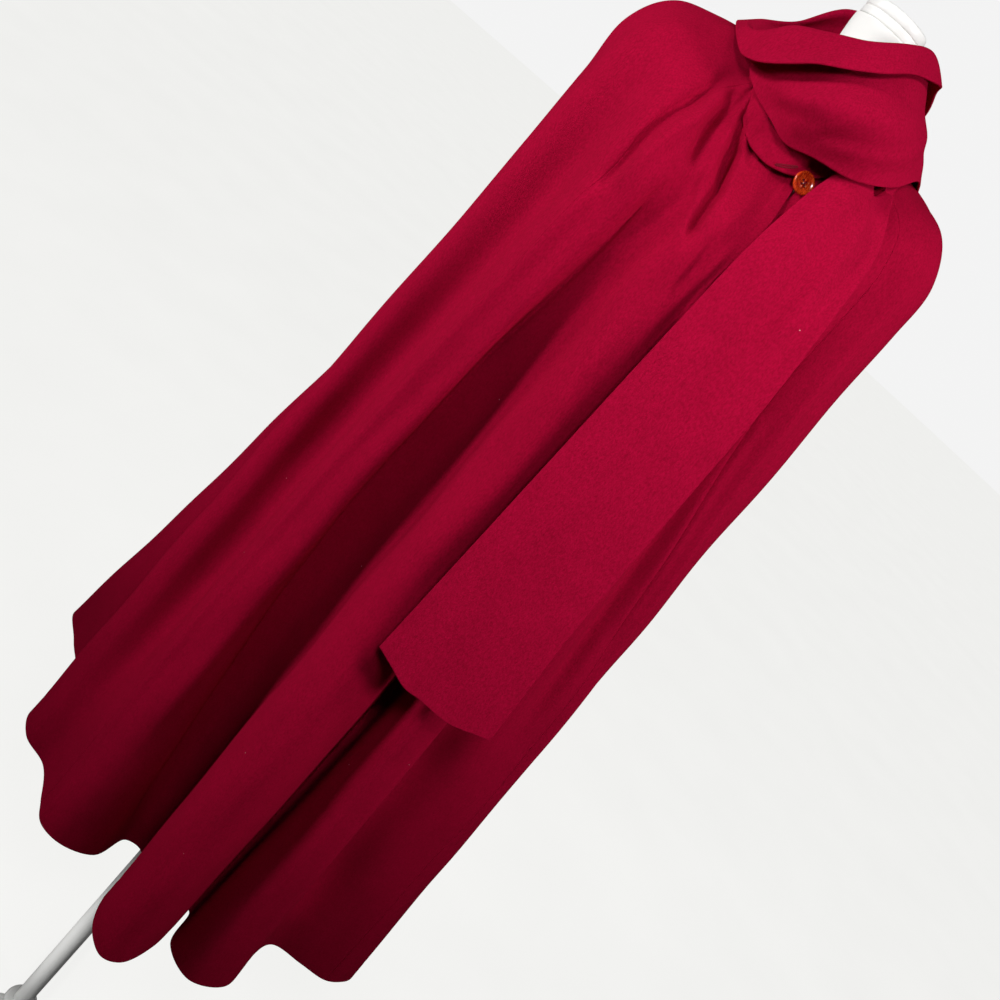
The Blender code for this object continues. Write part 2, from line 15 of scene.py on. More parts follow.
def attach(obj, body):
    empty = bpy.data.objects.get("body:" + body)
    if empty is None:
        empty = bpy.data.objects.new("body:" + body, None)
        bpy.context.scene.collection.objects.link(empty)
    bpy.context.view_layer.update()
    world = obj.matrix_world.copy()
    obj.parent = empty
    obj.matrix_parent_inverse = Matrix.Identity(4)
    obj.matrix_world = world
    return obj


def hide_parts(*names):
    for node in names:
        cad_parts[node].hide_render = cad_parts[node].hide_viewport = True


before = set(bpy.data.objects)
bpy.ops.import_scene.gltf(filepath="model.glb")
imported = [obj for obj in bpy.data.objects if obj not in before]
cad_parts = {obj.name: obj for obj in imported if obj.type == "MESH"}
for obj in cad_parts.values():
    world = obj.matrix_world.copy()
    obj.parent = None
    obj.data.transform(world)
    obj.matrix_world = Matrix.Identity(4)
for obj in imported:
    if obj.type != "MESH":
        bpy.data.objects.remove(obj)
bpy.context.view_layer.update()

bl_info = {
    "name": "Opera Cape on Dress Form",
    "version": (1, 0, 0),
    "blender": (4, 5, 0),
    "location": "View3D > Sidebar > Opera Cape",
    "description": "Builds a crimson wool opera cape with an attached scarf, worn by a white dress form",
    "category": "Add Mesh",
}

# Heights in the tables are above the cape's hem, which hangs this far above the floor, all in metres.
HEM_HEIGHT = 0.530
CENTRE_SHIFT = (0.0132, -0.0400)
CLOTH = 0.0020
SCARF_CLOTH = 0.0022
BAND_CLOTH = 0.0030
ROLL_RADIUS = 0.0042
FLAT_SPREAD = 0.0200
RING_POWER = 2.3

# The smooth rings the cape passes through between the neckline and the chest.
# name, reach, left, right, front, back, z_left, z_right, z_front, z_back
LEVELS = (
    ("neckline", 0.000, 0.068, 0.072, 0.086, 0.060, 1.274, 1.274, 1.193, 1.284),
    ("slope", 0.055, 0.120, 0.126, 0.103, 0.090, 1.260, 1.265, 1.164, 1.262),
    ("shoulder", 0.110, 0.165, 0.176, 0.124, 0.112, 1.243, 1.251, 1.139, 1.234),
    ("arm_top", 0.160, 0.188, 0.203, 0.139, 0.126, 1.208, 1.211, 1.115, 1.194),
    ("arm", 0.215, 0.1955, 0.211, 0.148, 0.134, 1.150, 1.155, 1.092, 1.145),
    ("chest", 0.300, 0.1980, 0.2185, 0.153, 0.141, 1.060, 1.060, 1.060, 1.060),
)

# The reaches at which a fold line has its full push outwards, and has turned from its neck to its arm turn.
FULL_PUSH_REACH, FULL_TURN_REACH = 0.160, 0.215
MIDDLE_REACH, MIDDLE_Z = 0.740, 0.620
HEM_REACH, HEM_Z = 1.360, 0.000

# Each fold line down the cape. Its turn is in degrees from the front towards the wearer's left.
# name, neck_turn, arm_turn, chest_push, mid_x, mid_y, hem_x, hem_y
FOLDS = (
    ("left_front_edge", 29, 8, -0.014, 0.0440, -0.106, 0.0480, -0.112),
    ("left_front_lap", 32, 15, -0.012, 0.0800, -0.098, 0.0900, -0.080),
    ("fold_3_flank", 36, 22, -0.002, 0.0950, -0.145, 0.0990, -0.137),
    ("fold_3_nose", 41, 30, 0.004, 0.1220, -0.170, 0.1458, -0.1600),
    ("fold_3_edge", 47, 38, 0.001, 0.1445, -0.148, 0.1900, -0.130),
    ("valley_3_flank", 51, 45, -0.005, 0.1500, -0.122, 0.1970, -0.075),
    ("valley_3_floor", 55, 50, -0.009, 0.1680, -0.096, 0.2120, -0.030),
    ("left_panel", 58, 54, -0.012, 0.2100, -0.075, 0.2620, -0.020),
    ("left_seam", 62, 59, -0.012, 0.2470, -0.045, 0.3050, -0.0125),
    ("left_ridge", 74, 73, 0.004, 0.2620, -0.020, 0.3270, 0.0016),
    ("left_side", 90, 88, 0.000, 0.2705, 0.014, 0.3370, 0.020),
    ("left_turn", 106, 104, 0.000, 0.2645, 0.060, 0.3300, 0.072),
    ("back_valley_1", 116, 114, -0.004, 0.2280, 0.092, 0.2620, 0.105),
    ("back_lobe_1", 124, 123, 0.000, 0.2240, 0.130, 0.2860, 0.170),
    ("back_nose_1", 132, 131, 0.003, 0.1960, 0.152, 0.2480, 0.222),
    ("left_back_seam", 140, 139, -0.004, 0.1600, 0.140, 0.1900, 0.152),
    ("back_lobe_2", 149, 147, 0.000, 0.1310, 0.164, 0.1610, 0.215),
    ("back_nose_2", 157, 156, 0.003, 0.0950, 0.176, 0.1100, 0.246),
    ("back_valley_2", 166, 165, -0.004, 0.0600, 0.157, 0.0600, 0.167),
    ("back_lobe_3", 174, 173, 0.000, 0.0300, 0.171, 0.0300, 0.220),
    ("back_nose_3", 182, 181, 0.003, -0.0050, 0.181, -0.0200, 0.252),
    ("back_valley_3", 190, 190, -0.004, -0.0400, 0.160, -0.0680, 0.175),
    ("back_lobe_4", 198, 198, 0.000, -0.0700, 0.170, -0.1000, 0.225),
    ("back_nose_4", 207, 207, 0.003, -0.1080, 0.170, -0.1500, 0.250),
    ("right_back_seam", 216, 217, -0.004, -0.1420, 0.142, -0.1900, 0.167),
    ("flap_inside", 225, 228, 0.000, -0.1740, 0.148, -0.2270, 0.215),
    ("flap_nose", 235, 240, 0.003, -0.2160, 0.143, -0.3000, 0.242),
    ("flap_edge", 246, 252, 0.002, -0.2540, 0.108, -0.3644, 0.2025),
    ("flap_front", 256, 261, 0.000, -0.2450, 0.068, -0.3250, 0.150),
    ("right_valley", 264, 268, -0.002, -0.2220, 0.044, -0.2620, 0.085),
    ("right_turn", 272, 275, 0.000, -0.2280, 0.018, -0.2620, 0.024),
    ("right_side", 281, 282, 0.001, -0.2300, -0.004, -0.2693, -0.011),
    ("right_face", 292, 294, 0.000, -0.2060, -0.030, -0.2430, -0.044),
    ("right_trough", 303, 306, -0.010, -0.1715, -0.038, -0.1985, -0.0615),
    ("right_seam", 316, 324, 0.001, -0.1360, -0.094, -0.1580, -0.110),
    ("right_lobe_side", 322, 329, 0.001, -0.1170, -0.112, -0.1330, -0.133),
    ("right_lobe", 328, 335, 0.001, -0.0980, -0.114, -0.0970, -0.138),
    ("valley_1_flank", 334, 341, -0.003, -0.0800, -0.098, -0.0560, -0.115),
    ("valley_1_floor", 341, 346.5, -0.013, -0.0540, -0.078, -0.0420, -0.062),
    ("valley_1_deep", 346, 351, -0.010, -0.0270, -0.092, -0.0140, -0.062),
    ("fold_2_flank", 353, 355.5, -0.001, -0.0160, -0.150, -0.0065, -0.157),
    ("fold_2_left", 359, 361, 0.003, 0.0030, -0.182, 0.0136, -0.2004),
    ("fold_2_nose", 367, 366, 0.004, 0.0270, -0.191, 0.0400, -0.2166),
    ("fold_2_right", 374, 370.5, 0.002, 0.0500, -0.180, 0.0653, -0.2045),
    ("fold_2_edge", 380, 373.5, 0.000, 0.0690, -0.152, 0.0834, -0.157),
    ("right_front_edge", 385, 376, 0.000, 0.0745, -0.124, 0.0880, -0.112),
)
FOLD_ORDER = [fold[0] for fold in FOLDS]

# The panels between the seams, with the cloth each was cut from laid flat.
# name, first fold, last fold, flat width, flat length, flat area, rests on
PANELS = (
    ("front_left", "left_front_edge", "left_seam", 0.46, 1.40, 0.38, "form_torso"),
    ("side_left", "left_seam", "left_back_seam", 0.42, 1.42, 0.41, "form_torso"),
    ("back", "left_back_seam", "right_back_seam", 0.64, 1.40, 0.47, "form_torso"),
    ("side_right", "right_back_seam", "right_seam", 0.67, 1.42, 0.57, "form_torso"),
    ("front_right", "right_seam", "right_front_edge", 0.58, 1.40, 0.44, "form_torso"),
)

# The creases that the hanging weight and the gathered neckline press into the cape. Each point is a place
# across, counted in folds, and a reach down from the neckline. Depths are along the cloth's outward side.
# name, depth, width towards the left front edge, width towards the right front edge, points
CAPE_CREASES = (
    ("gather_1", -0.0075, 0.008, 0.006,
     (33.38, 0.012), (33.7, 0.040), (34.4, 0.094), (34.4, 0.178), (34.2, 0.300)),
    ("gather_1_ridge", 0.0062, 0.010, 0.009,
     (34.3, 0.000), (35.0, 0.045), (35.5, 0.090), (35.3, 0.170), (35.2, 0.260)),
    ("gather_2", -0.0095, 0.008, 0.006, (34.26, 0.010), (35.7, 0.050), (36.9, 0.098), (37.3, 0.130)),
    ("gather_2_ridge", 0.0068, 0.009, 0.008, (35.6, 0.000), (37.0, 0.035), (38.1, 0.090), (38.7, 0.140)),
    ("gather_3", -0.0105, 0.008, 0.005,
     (35.75, 0.008), (38.5, 0.031), (40.0, 0.090), (40.5, 0.169), (40.6, 0.210)),
    ("gather_3_ridge", 0.0060, 0.007, 0.012, (37.0, 0.000), (39.7, 0.030), (40.9, 0.090), (41.2, 0.180)),
    ("gather_4", -0.0042, 0.009, 0.006, (41.3, 0.110), (41.9, 0.160), (42.2, 0.263), (42.9, 0.340)),
    ("valley_1_tip", -0.0190, 0.009, 0.018, (37.7, 0.125), (37.1, 0.200), (36.8, 0.330), (36.8, 0.600)),
    ("valley_1_low", -0.0300, 0.012, 0.026, (36.9, 0.400), (37.1, 0.700), (37.4, 1.000), (37.7, 1.330)),
    ("lobe_edge", 0.0045, 0.014, 0.006, (36.0, 0.300), (36.1, 0.600), (36.1, 0.900), (36.0, 1.200)),
    ("side_trough", -0.0150, 0.022, 0.024,
     (33.1, 0.090), (33.1, 0.230), (33.0, 0.420), (32.8, 0.700), (33.0, 1.240)),
    ("seam_ridge", 0.0070, 0.008, 0.009, (34.1, 0.150), (34.1, 0.500), (34.15, 0.800), (34.3, 1.300)),
    ("side_swell", 0.0040, 0.020, 0.016, (32.0, 0.150), (31.7, 0.450), (31.6, 0.900), (31.6, 1.300)),
    ("left_ridge_crest", 0.0075, 0.012, 0.008, (8.75, 0.060), (8.6, 0.160), (8.5, 0.300), (8.5, 1.100)),
    ("left_ridge_hollow", -0.0140, 0.014, 0.011, (7.7, 0.130), (7.7, 0.240), (7.4, 0.420), (7.3, 0.860)),
    ("fold_3_soft", -0.0018, 0.014, 0.012, (2.2, 0.400), (2.3, 0.800), (2.4, 1.200)),
    ("fold_3_crest", 0.0050, 0.014, 0.005, (3.85, 0.600), (3.85, 0.950), (3.9, 1.330)),
    ("valley_3_low", -0.0260, 0.012, 0.032, (5.3, 0.600), (5.4, 0.950), (5.5, 1.300)),
    ("side_left_soft", -0.0040, 0.020, 0.020, (10.4, 0.150), (10.6, 0.450), (10.9, 0.900), (11.0, 1.250)),
    ("back_soft_1", -0.0040, 0.014, 0.014, (16.6, 0.000), (16.7, 0.120), (16.8, 0.360)),
    ("back_soft_2", 0.0046, 0.012, 0.012, (19.3, 0.000), (19.2, 0.100), (19.3, 0.300)),
    ("back_soft_3", -0.0046, 0.010, 0.014, (22.5, 0.000), (22.4, 0.140), (22.6, 0.400)),
    ("back_soft_4", 0.0042, 0.010, 0.010, (14.4, 0.020), (14.3, 0.120), (14.2, 0.260)),
    ("back_soft_5", 0.0044, 0.012, 0.012, (25.6, 0.020), (25.8, 0.150), (26.0, 0.320)),
    ("right_shoulder_soft", 0.0040, 0.012, 0.014, (30.0, 0.010), (30.2, 0.090), (30.6, 0.220)),
    ("left_shoulder_soft", 0.0036, 0.012, 0.012, (10.4, 0.020), (10.8, 0.100), (11.0, 0.220)),
)

# The arm slit in the left seam: where its two turned edges part, as reaches down the seam, and how proud and
# how far from the seam each edge stands.
SLIT_TOP, SLIT_BOTTOM = 0.340, 0.640
SLIT_HEIGHT, SLIT_ROLL = 0.0016, 0.005

# The turned-up hem: how wide its step is, and how deep its stitches dimple the outside.
HEM_STEP, HEM_DIMPLE = 0.004, 0.00035

# Typical distances between two folds and between two stations of the scarf.
FOLD_SPACING = 0.040
STATION_SPACING = 0.060

# How far from a seam's line the cloth dips into it.
SEAM_WIDTH = 0.0005

# The scarf's cross-sections from the front tail's end to the back tail's end. Each runs from the edge that
# lies lower round the neck, through the body of the cloth and the roll at its top, to the turned-out edge.
# name, low edge x y z, body x y z, roll x y z, turned edge x y z
SCARF = (
    ("front_end", 0.188, -0.208, 0.607, 0.142, -0.217, 0.594,
     0.086, -0.218, 0.592, 0.0385, -0.206, 0.601),
    ("front_low", 0.171, -0.202, 0.752, 0.133, -0.208, 0.748,
     0.082, -0.209, 0.748, 0.0395, -0.199, 0.748),
    ("front_middle", 0.160, -0.190, 0.903, 0.126, -0.195, 0.900,
     0.079, -0.196, 0.900, 0.040, -0.188, 0.900),
    ("front_chest", 0.1505, -0.171, 1.042, 0.120, -0.175, 1.040,
     0.077, -0.177, 1.040, 0.041, -0.172, 1.040),
    ("front_top", 0.1415, -0.150, 1.131, 0.114, -0.153, 1.130,
     0.076, -0.157, 1.130, 0.043, -0.153, 1.130),
    ("front_gather", 0.134, -0.108, 1.195, 0.108, -0.119, 1.195,
     0.077, -0.125, 1.195, 0.050, -0.119, 1.195),
    ("front_neck", 0.112, -0.076, 1.240, 0.096, -0.081, 1.243,
     0.078, -0.085, 1.246, 0.062, -0.087, 1.249),
    ("left_shoulder", 0.112, -0.040, 1.268, 0.095, -0.044, 1.279,
     0.079, -0.045, 1.292, 0.065, -0.040, 1.306),
    ("left_neck", 0.098, 0.010, 1.279, 0.082, 0.006, 1.292,
     0.068, 0.004, 1.310, 0.064, 0.010, 1.328),
    ("left_back", 0.066, 0.050, 1.290, 0.064, 0.052, 1.318,
     0.054, 0.050, 1.344, 0.060, 0.060, 1.330),
    ("back", 0.004, 0.068, 1.295, 0.004, 0.080, 1.330,
     0.004, 0.076, 1.361, 0.004, 0.093, 1.336),
    ("right_back", -0.040, 0.058, 1.294, -0.045, 0.072, 1.323,
     -0.038, 0.070, 1.350, -0.050, 0.087, 1.324),
    ("right_neck", -0.066, 0.030, 1.286, -0.074, 0.040, 1.298,
     -0.068, 0.047, 1.309, -0.086, 0.060, 1.288),
    ("right_shoulder", -0.078, 0.004, 1.280, -0.088, 0.008, 1.283,
     -0.094, 0.016, 1.286, -0.110, 0.022, 1.274),
    ("right_tip", -0.078, -0.020, 1.271, -0.089, -0.018, 1.272,
     -0.100, -0.008, 1.273, -0.106, -0.024, 1.264),
    ("wrap_1", -0.069, -0.056, 1.246, -0.076, -0.050, 1.256,
     -0.0834, -0.048, 1.2674, -0.080, -0.066, 1.246),
    ("wrap_2", -0.0478, -0.080, 1.2277, -0.053, -0.082, 1.2518,
     -0.0595, -0.068, 1.2873, -0.058, -0.096, 1.249),
    ("wrap_3", -0.0212, -0.102, 1.2166, -0.0243, -0.110, 1.2479,
     -0.0319, -0.084, 1.3011, -0.0306, -0.118, 1.2662),
    ("wrap_4", 0.0034, -0.116, 1.2095, 0.0025, -0.130, 1.2544,
     0.0013, -0.094, 1.315, -0.0085, -0.126, 1.2786),
    ("wrap_5", 0.0344, -0.124, 1.2164, 0.0317, -0.136, 1.2614,
     0.030, -0.086, 1.3352, 0.0283, -0.120, 1.3019),
    ("wrap_6", 0.0739, -0.120, 1.2262, 0.0678, -0.122, 1.272,
     0.0477, -0.066, 1.3453, 0.0508, -0.096, 1.3218),
    ("wrap_7", 0.105, -0.088, 1.2452, 0.0935, -0.078, 1.286,
     0.064, -0.036, 1.341, 0.0735, -0.052, 1.333),
    ("over_shoulder", 0.122, -0.034, 1.268, 0.104, -0.018, 1.300,
     0.066, -0.004, 1.340, 0.079, -0.008, 1.335),
    ("behind_shoulder", 0.138, 0.035, 1.264, 0.113, 0.046, 1.288,
     0.075, 0.052, 1.326, 0.090, 0.062, 1.318),
    ("behind_neck", 0.158, 0.092, 1.246, 0.126, 0.108, 1.260,
     0.082, 0.104, 1.288, 0.078, 0.120, 1.272),
    ("back_gather", 0.178, 0.130, 1.198, 0.138, 0.148, 1.202,
     0.088, 0.150, 1.212, 0.060, 0.154, 1.208),
    ("back_top", 0.190, 0.146, 1.100, 0.147, 0.170, 1.100,
     0.095, 0.176, 1.100, 0.052, 0.170, 1.100),
    ("back_chest", 0.200, 0.154, 0.980, 0.152, 0.184, 0.980,
     0.098, 0.190, 0.980, 0.048, 0.180, 0.980),
    ("back_middle", 0.208, 0.164, 0.840, 0.156, 0.196, 0.840,
     0.100, 0.203, 0.840, 0.046, 0.190, 0.840),
    ("back_low", 0.214, 0.176, 0.720, 0.160, 0.206, 0.720,
     0.100, 0.214, 0.720, 0.044, 0.202, 0.720),
    ("back_end", 0.220, 0.188, 0.604, 0.164, 0.217, 0.600,
     0.100, 0.226, 0.598, 0.042, 0.213, 0.602),
)
STATION_ORDER = [station[0] for station in SCARF]

# name, first station, last station, flat width, flat length, flat area, held, rests on
STRETCHES = (
    ("scarf_tail_front", "front_end", "front_neck", 0.16, 0.66, 0.090, "hung", "front_left"),
    ("scarf_neck", "front_neck", "right_tip", 0.10, 0.40, 0.029, "draped", "neck_band"),
    ("scarf_wrap", "right_tip", "behind_shoulder", 0.15, 0.40, 0.046, "draped", "neck_band"),
    ("scarf_tail_back", "behind_shoulder", "back_end", 0.20, 0.76, 0.125, "hung", "side_left"),
)

# The scarf's creases. Each point is a place across, counted in section points from the low edge, and a
# station along the scarf.
# name, depth, width towards the low edge, width towards the turned edge, points
SCARF_CREASES = (
    ("drape_tuck", -0.0090, 0.030, 0.034, (0.00, 15.2), (0.00, 17.0), (0.00, 19.0), (0.00, 21.4)),
    ("swag_1", -0.0022, 0.008, 0.012, (0.75, 16.2), (1.10, 17.0), (1.28, 18.3), (1.35, 19.8), (1.60, 21.2)),
    ("swag_1_crest", 0.0020, 0.010, 0.008,
     (0.45, 16.2), (0.85, 17.2), (1.05, 18.5), (1.12, 19.8), (1.40, 21.0)),
    ("swag_2", -0.0018, 0.007, 0.010, (0.35, 18.4), (0.62, 19.5), (0.78, 20.5), (1.10, 21.6)),
    ("swag_2_crest", 0.0016, 0.009, 0.007, (0.15, 18.6), (0.42, 19.6), (0.56, 20.5), (0.90, 21.6)),
    ("swag_3", -0.0014, 0.008, 0.009, (0.20, 16.3), (0.50, 17.2), (0.62, 18.2), (0.60, 18.9)),
    ("shoulder_soft", -0.0024, 0.010, 0.010, (0.60, 21.0), (0.80, 22.2), (0.95, 23.5), (1.10, 25.0)),
    ("tail_gather_a", -0.0046, 0.009, 0.010, (4.55, 4.20), (4.60, 4.90), (4.75, 5.40), (4.85, 6.00)),
    ("tail_ridge_a", 0.0028, 0.010, 0.010, (4.10, 3.60), (4.20, 4.60), (4.30, 5.30), (4.40, 6.00)),
    ("tail_gather_b", -0.0042, 0.010, 0.011, (1.75, 3.00), (1.80, 4.20), (1.90, 5.00), (2.00, 6.00)),
    ("tail_ridge_b", 0.0030, 0.012, 0.012, (0.85, 1.60), (0.88, 3.40), (1.00, 4.80), (1.10, 6.00)),
    ("tail_gather_c", -0.0024, 0.010, 0.010, (0.40, 2.60), (0.45, 4.00), (0.55, 5.00), (0.60, 6.00)),
    ("tail_edge_ridge", 0.0042, 0.010, 0.009, (0.00, 2.20), (0.00, 4.00), (0.00, 6.00)),
    ("tail_soft", -0.0014, 0.018, 0.018, (1.50, 0.20), (1.45, 1.40), (1.40, 2.80), (1.60, 4.20)),
    ("back_tail_a", -0.0034, 0.010, 0.012, (1.20, 24.0), (1.25, 25.2), (1.35, 27.0), (1.40, 28.6)),
    ("back_tail_b", 0.0034, 0.011, 0.011, (2.60, 24.0), (2.70, 25.4), (2.80, 27.4)),
    ("back_tail_c", -0.0028, 0.012, 0.010, (4.30, 24.2), (4.30, 25.6), (4.20, 28.0)),
    ("neck_soft_a", -0.0022, 0.006, 0.007, (0.80, 8.6), (0.95, 10.0), (0.90, 11.6)),
    ("neck_soft_b", 0.0020, 0.006, 0.006, (0.40, 9.4), (0.50, 10.6), (0.45, 12.0)),
)

# The dress form, from its base to the top of its neck.
# name, z, half_width, front, back
TORSO = (
    ("base", 0.6000, 0.142, 0.056, 0.100),
    ("hip_low", 0.6200, 0.152, 0.063, 0.110),
    ("hip", 0.6800, 0.156, 0.069, 0.114),
    ("hip_top", 0.7500, 0.142, 0.072, 0.098),
    ("waist", 0.8200, 0.120, 0.076, 0.078),
    ("ribs", 0.9000, 0.130, 0.092, 0.084),
    ("bust", 0.9900, 0.152, 0.118, 0.094),
    ("bust_top", 1.0600, 0.162, 0.114, 0.102),
    ("chest", 1.1300, 0.174, 0.096, 0.106),
    ("arm_top", 1.1800, 0.178, 0.080, 0.100),
    ("shoulder_end", 1.2145, 0.175, 0.067, 0.088),
    ("shoulder", 1.2360, 0.1515, 0.057, 0.076),
    ("shoulder_top", 1.2494, 0.1175, 0.0515, 0.066),
    ("neck_slope", 1.2585, 0.080, 0.0465, 0.058),
    ("neck_base", 1.2695, 0.0545, 0.044, 0.047),
    ("neck", 1.2900, 0.038, 0.040, 0.038),
    ("neck_top", 1.3440, 0.0355, 0.037, 0.036),
)
TORSO_CENTRE = (0.0068, 0.0045)
STAND_CENTRE = (-0.005, 0.004)

# One leg of the stand, out from the hub. name, reach, half_width, top, under
LEG = (
    ("root", 0.0274, 0.0085, -0.4970, -0.5130),
    ("knee", 0.1100, 0.0085, -0.5000, -0.5150),
    ("shin", 0.2350, 0.0080, -0.5070, -0.5210),
    ("heel", 0.2600, 0.0120, -0.5150, -0.5300),
    ("pad", 0.2740, 0.0150, -0.5160, -0.5300),
    ("toe", 0.3000, 0.0090, -0.5180, -0.5300),
)
HUB_RADIUS = 0.027
LEG_SIDES = 28
LEGS = (("stand_leg_back", 0.0), ("stand_leg_left", 120.0), ("stand_leg_right", 240.0))


def hex_colour(code):
    """Linear red, green, blue and full alpha from an sRGB hex code."""
    channels = np.array([int(code[i:i + 2], 16) for i in (1, 3, 5)]) / 255.0
    linear = np.where(channels <= 0.04045, channels / 12.92, ((channels + 0.055) / 1.055) ** 2.4)
    return (*linear.tolist(), 1.0)


def length_property(name, text, default):
    """A length in metres for the panel."""
    return bpy.props.FloatProperty(
        name=name, description=text, default=default, min=0.0, unit="LENGTH", precision=4
    )


def number_property(name, text, default):
    """A plain number for the panel."""
    return bpy.props.FloatProperty(name=name, description=text, default=default, min=0.0)


def colour_property(name, text, code):
    """A colour for the panel from its sRGB hex code."""
    return bpy.props.FloatVectorProperty(
        name=name, description=text, default=hex_colour(code), size=4, min=0.0, max=1.0, subtype="COLOR"
    )


class CapeSettings(bpy.types.PropertyGroup):
    hem_depth: length_property("Hem depth", "Width of the turned-up hem inside the cape", 0.040)
    hem_fullness: length_property("Hem fullness", "Extra thickness where the hem is turned up", 0.0012)
    seam_gap: length_property("Seam gap", "Gap between two panels along their seam", 0.0001)
    seam_dip: bpy.props.FloatProperty(
        name="Seam dip", description="Share of the cloth's thickness lost at a seam's groove",
        default=0.5, min=0.0, max=0.9,
    )
    gather_height: length_property("Gather height", "Height of the small gathers under the neck band", 0.0022)
    gather_fade: length_property("Gather fade", "How far down the small gathers die away", 0.050)
    unevenness: length_property("Unevenness", "Height of the broad soft swells in the hanging cloth", 0.0010)
    wool: colour_property("Wool", "Crimson of the milled wool", "#A0062F")
    wool_shade: colour_property("Wool shade", "Deeper crimson in the nap", "#7C0420")


class ScarfSettings(bpy.types.PropertyGroup):
    swell: length_property("Swell", "Height of the broad soft swells in the scarf", 0.0010)
    wool: colour_property("Scarf wool", "Crimson of the scarf", "#A40732")


class ButtonSettings(bpy.types.PropertyGroup):
    radius: length_property("Radius", "Radius of the button", 0.0110)
    thickness: length_property("Thickness", "Thickness of the button", 0.0034)
    resin: colour_property("Resin", "Red-orange of the button", "#FF5A22")
    streak: colour_property("Streak", "Deep red of the streaks in the button", "#B4200A")


class FormSettings(bpy.types.PropertyGroup):
    cap_radius: length_property("Cap radius", "Radius of the cap on the neck", 0.0340)
    pole_radius: length_property("Pole radius", "Radius of the pole", 0.0144)
    jersey: colour_property("Jersey", "White of the form's cover", "#F6F6F4")
    enamel: colour_property("Enamel", "White of the stand and the cap", "#F8F8F6")


class StageSettings(bpy.types.PropertyGroup):
    paper: colour_property("Paper", "Pale floor", "#F4F4F2")
    ambience: number_property("Ambience", "Strength of the light all round", 0.02)
    backdrop: number_property("Backdrop", "Paleness of what lies past the floor", 0.899)
    left_power: number_property("Left power", "Strength of the left light", 8.5)
    edge_power: number_property("Edge power", "Strength of the left edge light", 6.0)
    right_power: number_property("Right power", "Strength of the right light", 6.0)
    top_power: number_property("Top power", "Strength of the top light", 7.0)
    front_power: number_property("Front power", "Strength of the front light", 2.7)
    left_beam: number_property("Left beam", "Strength of the left beam", 68.0)
    right_beam: number_property("Right beam", "Strength of the right beam", 54.0)
    front_beam: number_property("Front beam", "Strength of the front beam", 18.0)
    low_beam: number_property("Low beam", "Strength of the beam on the stand", 40.0)
    camera_place: bpy.props.FloatVectorProperty(
        name="Camera place", description="Where the camera stands",
        default=(0.0432, -1.13, 1.70), unit="LENGTH",
    )
    camera_pitch: bpy.props.FloatProperty(
        name="Camera pitch", description="How far the camera looks down",
        default=math.radians(22.0), unit="ROTATION",
    )
    camera_roll: bpy.props.FloatProperty(
        name="Camera roll", description="How far the garment leans in the picture",
        default=math.radians(42.0), unit="ROTATION",
    )
    lens: number_property("Lens", "Focal length on a 36 mm sensor", 36.0)


def add_node(tree, kind, settings=None, inputs=None):
    """A node of a kind with its settings, and its inputs each given a value or linked from a socket."""
    node = tree.nodes.new(kind)
    for name, value in (settings or {}).items():
        setattr(node, name, value)
    for name, value in (inputs or {}).items():
        if isinstance(value, bpy.types.NodeSocket):
            tree.links.new(value, node.inputs[name])
        else:
            node.inputs[name].default_value = value
    return node


def start_material(name):
    """An empty node material, its tree and its output node."""
    material = bpy.data.materials.new(name)
    material.use_nodes = True
    tree = material.node_tree
    tree.nodes.clear()
    return material, tree, add_node(tree, "ShaderNodeOutputMaterial")


